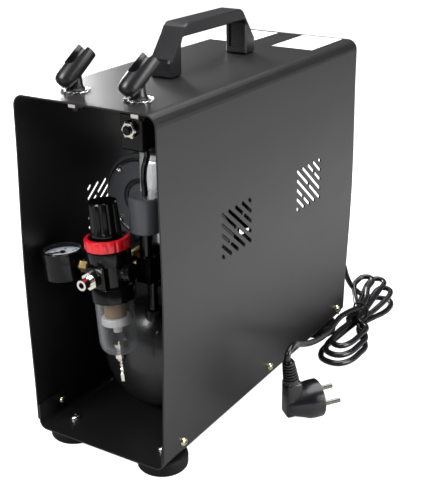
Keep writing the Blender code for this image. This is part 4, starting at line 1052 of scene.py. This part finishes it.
@dataclass
class SmoothShells:
    """Finely turned shapes in place of the coarser solids of the tank, the feet and the holders.

    Attributes:
        steps: Faces round each turn.
        tank_length: Length of the tank from end to end.
        tank_up: Height of its axis above the cover's lower edge.
        dome: Depth of each dished end.
        bead: Height of its two weld beads.
        teeth: Teeth round each lock washer.
        cup_up: Height of a cup's middle over the panel.
        cup_lean: How far a cup leans, in radians.
    """

    steps: int = 72
    tank_length: float = 0.283
    tank_up: float = 0.050
    dome: float = 0.026
    bead: float = 0.0006
    teeth: int = 14
    cup_up: float = 0.0205
    cup_lean: float = math.radians(-45)

    def tank(self) -> None:
        """Welded tank: barrel, dished ends, two seam beads, feet and bosses."""
        low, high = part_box("air_tank")
        radius = (high.x - low.x) / 2
        front, rear = low.y, low.y + self.tank_length
        bm = bmesh.new()
        arc = [(radius * math.sin(math.radians(9 * i)), self.dome * math.cos(math.radians(9 * i)))
               for i in range(11)]
        rear_end = [(r, rear - self.dome + z) for r, z in arc]
        front_end = [(r, front + self.dome - z) for r, z in reversed(arc)]
        seams = [(radius, rear - self.dome - 0.004), (radius + self.bead, rear - self.dome - 0.006),
                 (radius, rear - self.dome - 0.008), (radius, front + self.dome + 0.008),
                 (radius + self.bead, front + self.dome + 0.006), (radius, front + self.dome + 0.004)]
        axis = Matrix.Translation(Vector((0, 0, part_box("cover")[0].z + self.tank_up)))
        spun(bm, [*rear_end, *seams, *front_end], axis @ Matrix.Rotation(math.radians(-90), 4, "X"),
             self.steps)
        for back in (0.110, 0.300):
            block(bm, (0.066, 0.014, 0.024), Matrix.Translation(case_point(0, back, 0.0047)), 0.0008)
        for x, back, top, wide in ((0.008, 0.082, 0.1045, 0.008), (0.022, 0.215, 0.1045, 0.008),
                                   (0.0, 0.290, 0.1075, 0.007)):
            spun(bm, [(0, 0), (wide - 0.0008, 0), (wide, -0.0008), (wide, -0.016), (0, -0.016)],
                 Matrix.Translation(case_point(x, back, top)), 32)
        spun(bm, [(0, 0), (0.0079, 0), (0.0085, -0.0006), (0.0085, -0.020), (0, -0.020)],
             facing(case_point(0, 0.348, 0.016), BACKWARD), 32)
        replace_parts(piece("welded_tank", bm, "tank_paint", Body.CASE, 50), "air_tank")

    def feet(self) -> None:
        """Four turned rubber feet with softened rims."""
        for node in FEET:
            low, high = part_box(node)
            top = high.z - low.z
            bm = bmesh.new()
            spun(bm, [(0.0030, top), (0.0212, top), (0.0222, top - 0.0004), (0.0236, top - 0.0016),
                      (0.0240, top - 0.0034), (0.0240, 0.0036), (0.0237, 0.0016), (0.0228, 0.0004),
                      (0.0216, 0), (0.0084, 0), (0.0080, 0.0004), (0.0080, 0.0055), (0.0030, 0.0055)],
                 Matrix.Translation(middle_of(node)), self.steps)
            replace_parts(piece(f"turned_{node}", bm, "rubber", Body.CASE), node)

    def washers(self) -> None:
        """Toothed lock washers with twisted teeth under both holders."""
        for hand in HANDS:
            place = Matrix.Translation(middle_of(f"star_washer_{hand}"))
            bm = bmesh.new()
            spun(bm, [(0.0045, 0.0010), (0.0108, 0.0012), (0.0110, 0.0004), (0.0045, 0.0002)], place, 48)
            for index in range(self.teeth):
                turn = Matrix.Rotation(2 * math.pi * index / self.teeth, 4, "Z")
                tooth = Matrix.Translation((0.0114, 0, 0.0010)) @ Matrix.Rotation(math.radians(24), 4, "X")
                block(bm, (0.0034, 0.0030, 0.0007), place @ turn @ tooth, 0.0002, 1)
            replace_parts(piece(f"toothed_washer_{hand}", bm, "washer_plate", Body.CASE, 25),
                        f"star_washer_{hand}")

    def nuts(self) -> None:
        """Chamfered hexagon nuts under both holders."""
        for hand in HANDS:
            bm = bmesh.new()
            spun(bm, [(0.0042, 0), (0.0070, 0), (0.0075, -0.0008), (0.0075, -0.0112), (0.0068, -0.0122),
                      (0.0042, -0.0122)], Matrix.Translation(middle_of(f"holder_nut_{hand}", True)), 6)
            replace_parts(piece(f"chamfered_nut_{hand}", bm, "nickel", Body.CASE, 25),
                        f"holder_nut_{hand}")

    def drum(self) -> None:
        """Round cap of the pressure switch."""
        bm = bmesh.new()
        spun(bm, [(0, 0.0330), (0.0118, 0.0330), (0.0128, 0.0330), (0.0142, 0.0318), (0.0145, 0.0300),
                  (0.0145, 0.0025), (0.0140, 0.0008), (0.0128, 0), (0, 0)],
             Matrix.Translation(middle_of("pressure_switch")), self.steps)
        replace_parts(piece("round_pressure_switch", bm, "bell_paint", Body.CASE),
                    "pressure_switch")

    def finishes(self) -> None:
        """Finishes of the CAD pieces that differ from their slot's own."""
        for node, finish in (("motor_housing", "bell_paint"), ("delivery_tube", "tank_paint"),
                             ("plug_pin_left", "pin_metal"), ("plug_pin_right", "pin_metal")):
            dress(node, finish)

    def holder(self, hand: str, body: Body, turn: float) -> None:
        """One airbrush holder: flared neck and a slotted cup with a rounded lower end.

        Args:
            hand: left or right.
            body: Body it rides on.
            turn: How far its lean is turned from straight back, in radians.
        """
        seat = middle_of(f"star_washer_{hand}")
        seat.z -= GAP
        place = Matrix.Translation(seat) @ Matrix.Rotation(turn, 4, "Z")
        cup = place @ Matrix.Translation((0, 0, self.cup_up)) @ Matrix.Rotation(self.cup_lean, 4, "X")
        shell = bmesh.new()
        spun(shell, [(0.0070, 0.0194), (0.0082, 0.0195), (0.0089, 0.0189), (0.0090, 0.0120),
                     (0.0090, -0.0105), (0.0087, -0.0134), (0.0080, -0.0160), (0.0068, -0.0180),
                     (0.0050, -0.0191), (0.0028, -0.0195), (0.0001, -0.0195),
                     (0.0001, -0.0035), (0.0064, -0.0035), (0.0068, -0.0029), (0.0068, 0.0188)],
             cup, self.steps)
        slit = bmesh.new()
        spun(slit, [(0, 0.0200), (0.0060, 0.0200), (0.0060, 0.0), (0, 0.0)],
             cup @ Matrix.Translation((0, -0.001, 0.0033)) @ Matrix.Rotation(math.radians(90), 4, "X"), 40)
        wedge = bmesh.new()
        block(wedge, (0.0120, 0.0200, 0.0240), cup @ Matrix.Translation((0, -0.011, 0.0153)))
        for vert in wedge.verts:
            local = cup.inverted() @ vert.co
            if local.z > 0.02:
                local.x *= 1.30
                vert.co = cup @ local
        neck = bmesh.new()
        spun(neck, [(0, 0.0145), (0.0059, 0.0145), (0.0061, 0.0110), (0.0064, 0.0075),
                    (0.0071, 0.0048), (0.0080, 0.0030), (0.0087, 0.0023), (0.0087, 0.0018),
                    (0.0038, 0.0018), (0.0038, -0.0165), (0, -0.0165)], place, self.steps)
        whole = self.carved(f"slotted_holder_{hand}", shell, neck, (slit, wedge))
        obj = piece(f"airbrush_holder_{hand}", whole, "handle_plastic", body, 40)
        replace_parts(obj, f"holder_{hand}")

    def carved(self, name: str, shell: bmesh.types.BMesh, extra: bmesh.types.BMesh,
               cuts: Sequence[bmesh.types.BMesh]) -> bmesh.types.BMesh:
        """Cuts shapes out of a shell, then adds another shape to it.

        Args:
            name: Name for the helpers.
            shell: Shape that is cut.
            extra: Shape that is added as it is.
            cuts: Shapes that are taken away.

        Returns:
            The finished shape.
        """
        helpers = []
        for index, bm in enumerate((shell, *cuts)):
            bmesh.ops.recalc_face_normals(bm, faces=bm.faces)
            mesh = bpy.data.meshes.new(f"{name}_{index}")
            bm.to_mesh(mesh)
            bm.free()
            helper = bpy.data.objects.new(f"{name}_{index}", mesh)
            bpy.context.scene.collection.objects.link(helper)
            helpers.append(helper)
        for other in helpers[1:]:
            change = helpers[0].modifiers.new("cut", "BOOLEAN")
            change.operation = "DIFFERENCE"
            change.object = other
            change.solver = "EXACT"
        bpy.context.view_layer.update()
        graph = bpy.context.evaluated_depsgraph_get()
        cut = bpy.data.meshes.new_from_object(helpers[0].evaluated_get(graph))
        whole = bmesh.new()
        whole.from_mesh(cut)
        joined = bpy.data.meshes.new(name)
        bmesh.ops.recalc_face_normals(extra, faces=extra.faces)
        extra.to_mesh(joined)
        extra.free()
        whole.from_mesh(joined)
        bpy.data.meshes.remove(joined)
        bpy.data.meshes.remove(cut)
        for helper in helpers:
            bpy.data.objects.remove(helper, do_unlink=True)
        return whole

    def build(self) -> None:
        """Makes every smooth shell."""
        for make in (self.tank, self.feet, self.washers, self.drum, self.nuts, self.finishes):
            make()
        self.holder("left", Body.HOLDER_LEFT, math.radians(-20))
        self.holder("right", Body.HOLDER_RIGHT, math.radians(-22))


def write_sizes() -> None:
    """Updates the view layer.
    """
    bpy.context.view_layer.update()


with open("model.json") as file:
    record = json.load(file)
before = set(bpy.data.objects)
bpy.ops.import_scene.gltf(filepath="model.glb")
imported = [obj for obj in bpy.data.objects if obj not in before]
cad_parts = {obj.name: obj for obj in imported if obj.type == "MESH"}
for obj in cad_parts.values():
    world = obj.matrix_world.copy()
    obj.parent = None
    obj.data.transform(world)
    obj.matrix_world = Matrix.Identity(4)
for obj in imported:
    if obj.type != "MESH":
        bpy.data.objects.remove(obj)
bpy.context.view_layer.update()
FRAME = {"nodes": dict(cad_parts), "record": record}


def main() -> None:
    """Builds the studio and every sub-assembly in order."""
    logging.basicConfig(level=logging.INFO, format="%(name)s: %(message)s")
    studio = Studio()
    studio.camera()
    MainsLead().build()
    studio.lights()
    studio.floor()
    dress_nodes(FRAME["record"])
    for build in (CaseScrews().build, Regulator().build, Plug().build, PumpDetail().build,
                  SmoothShells().build):
        build()
    write_sizes()


if __name__ == "__main__":
    main()
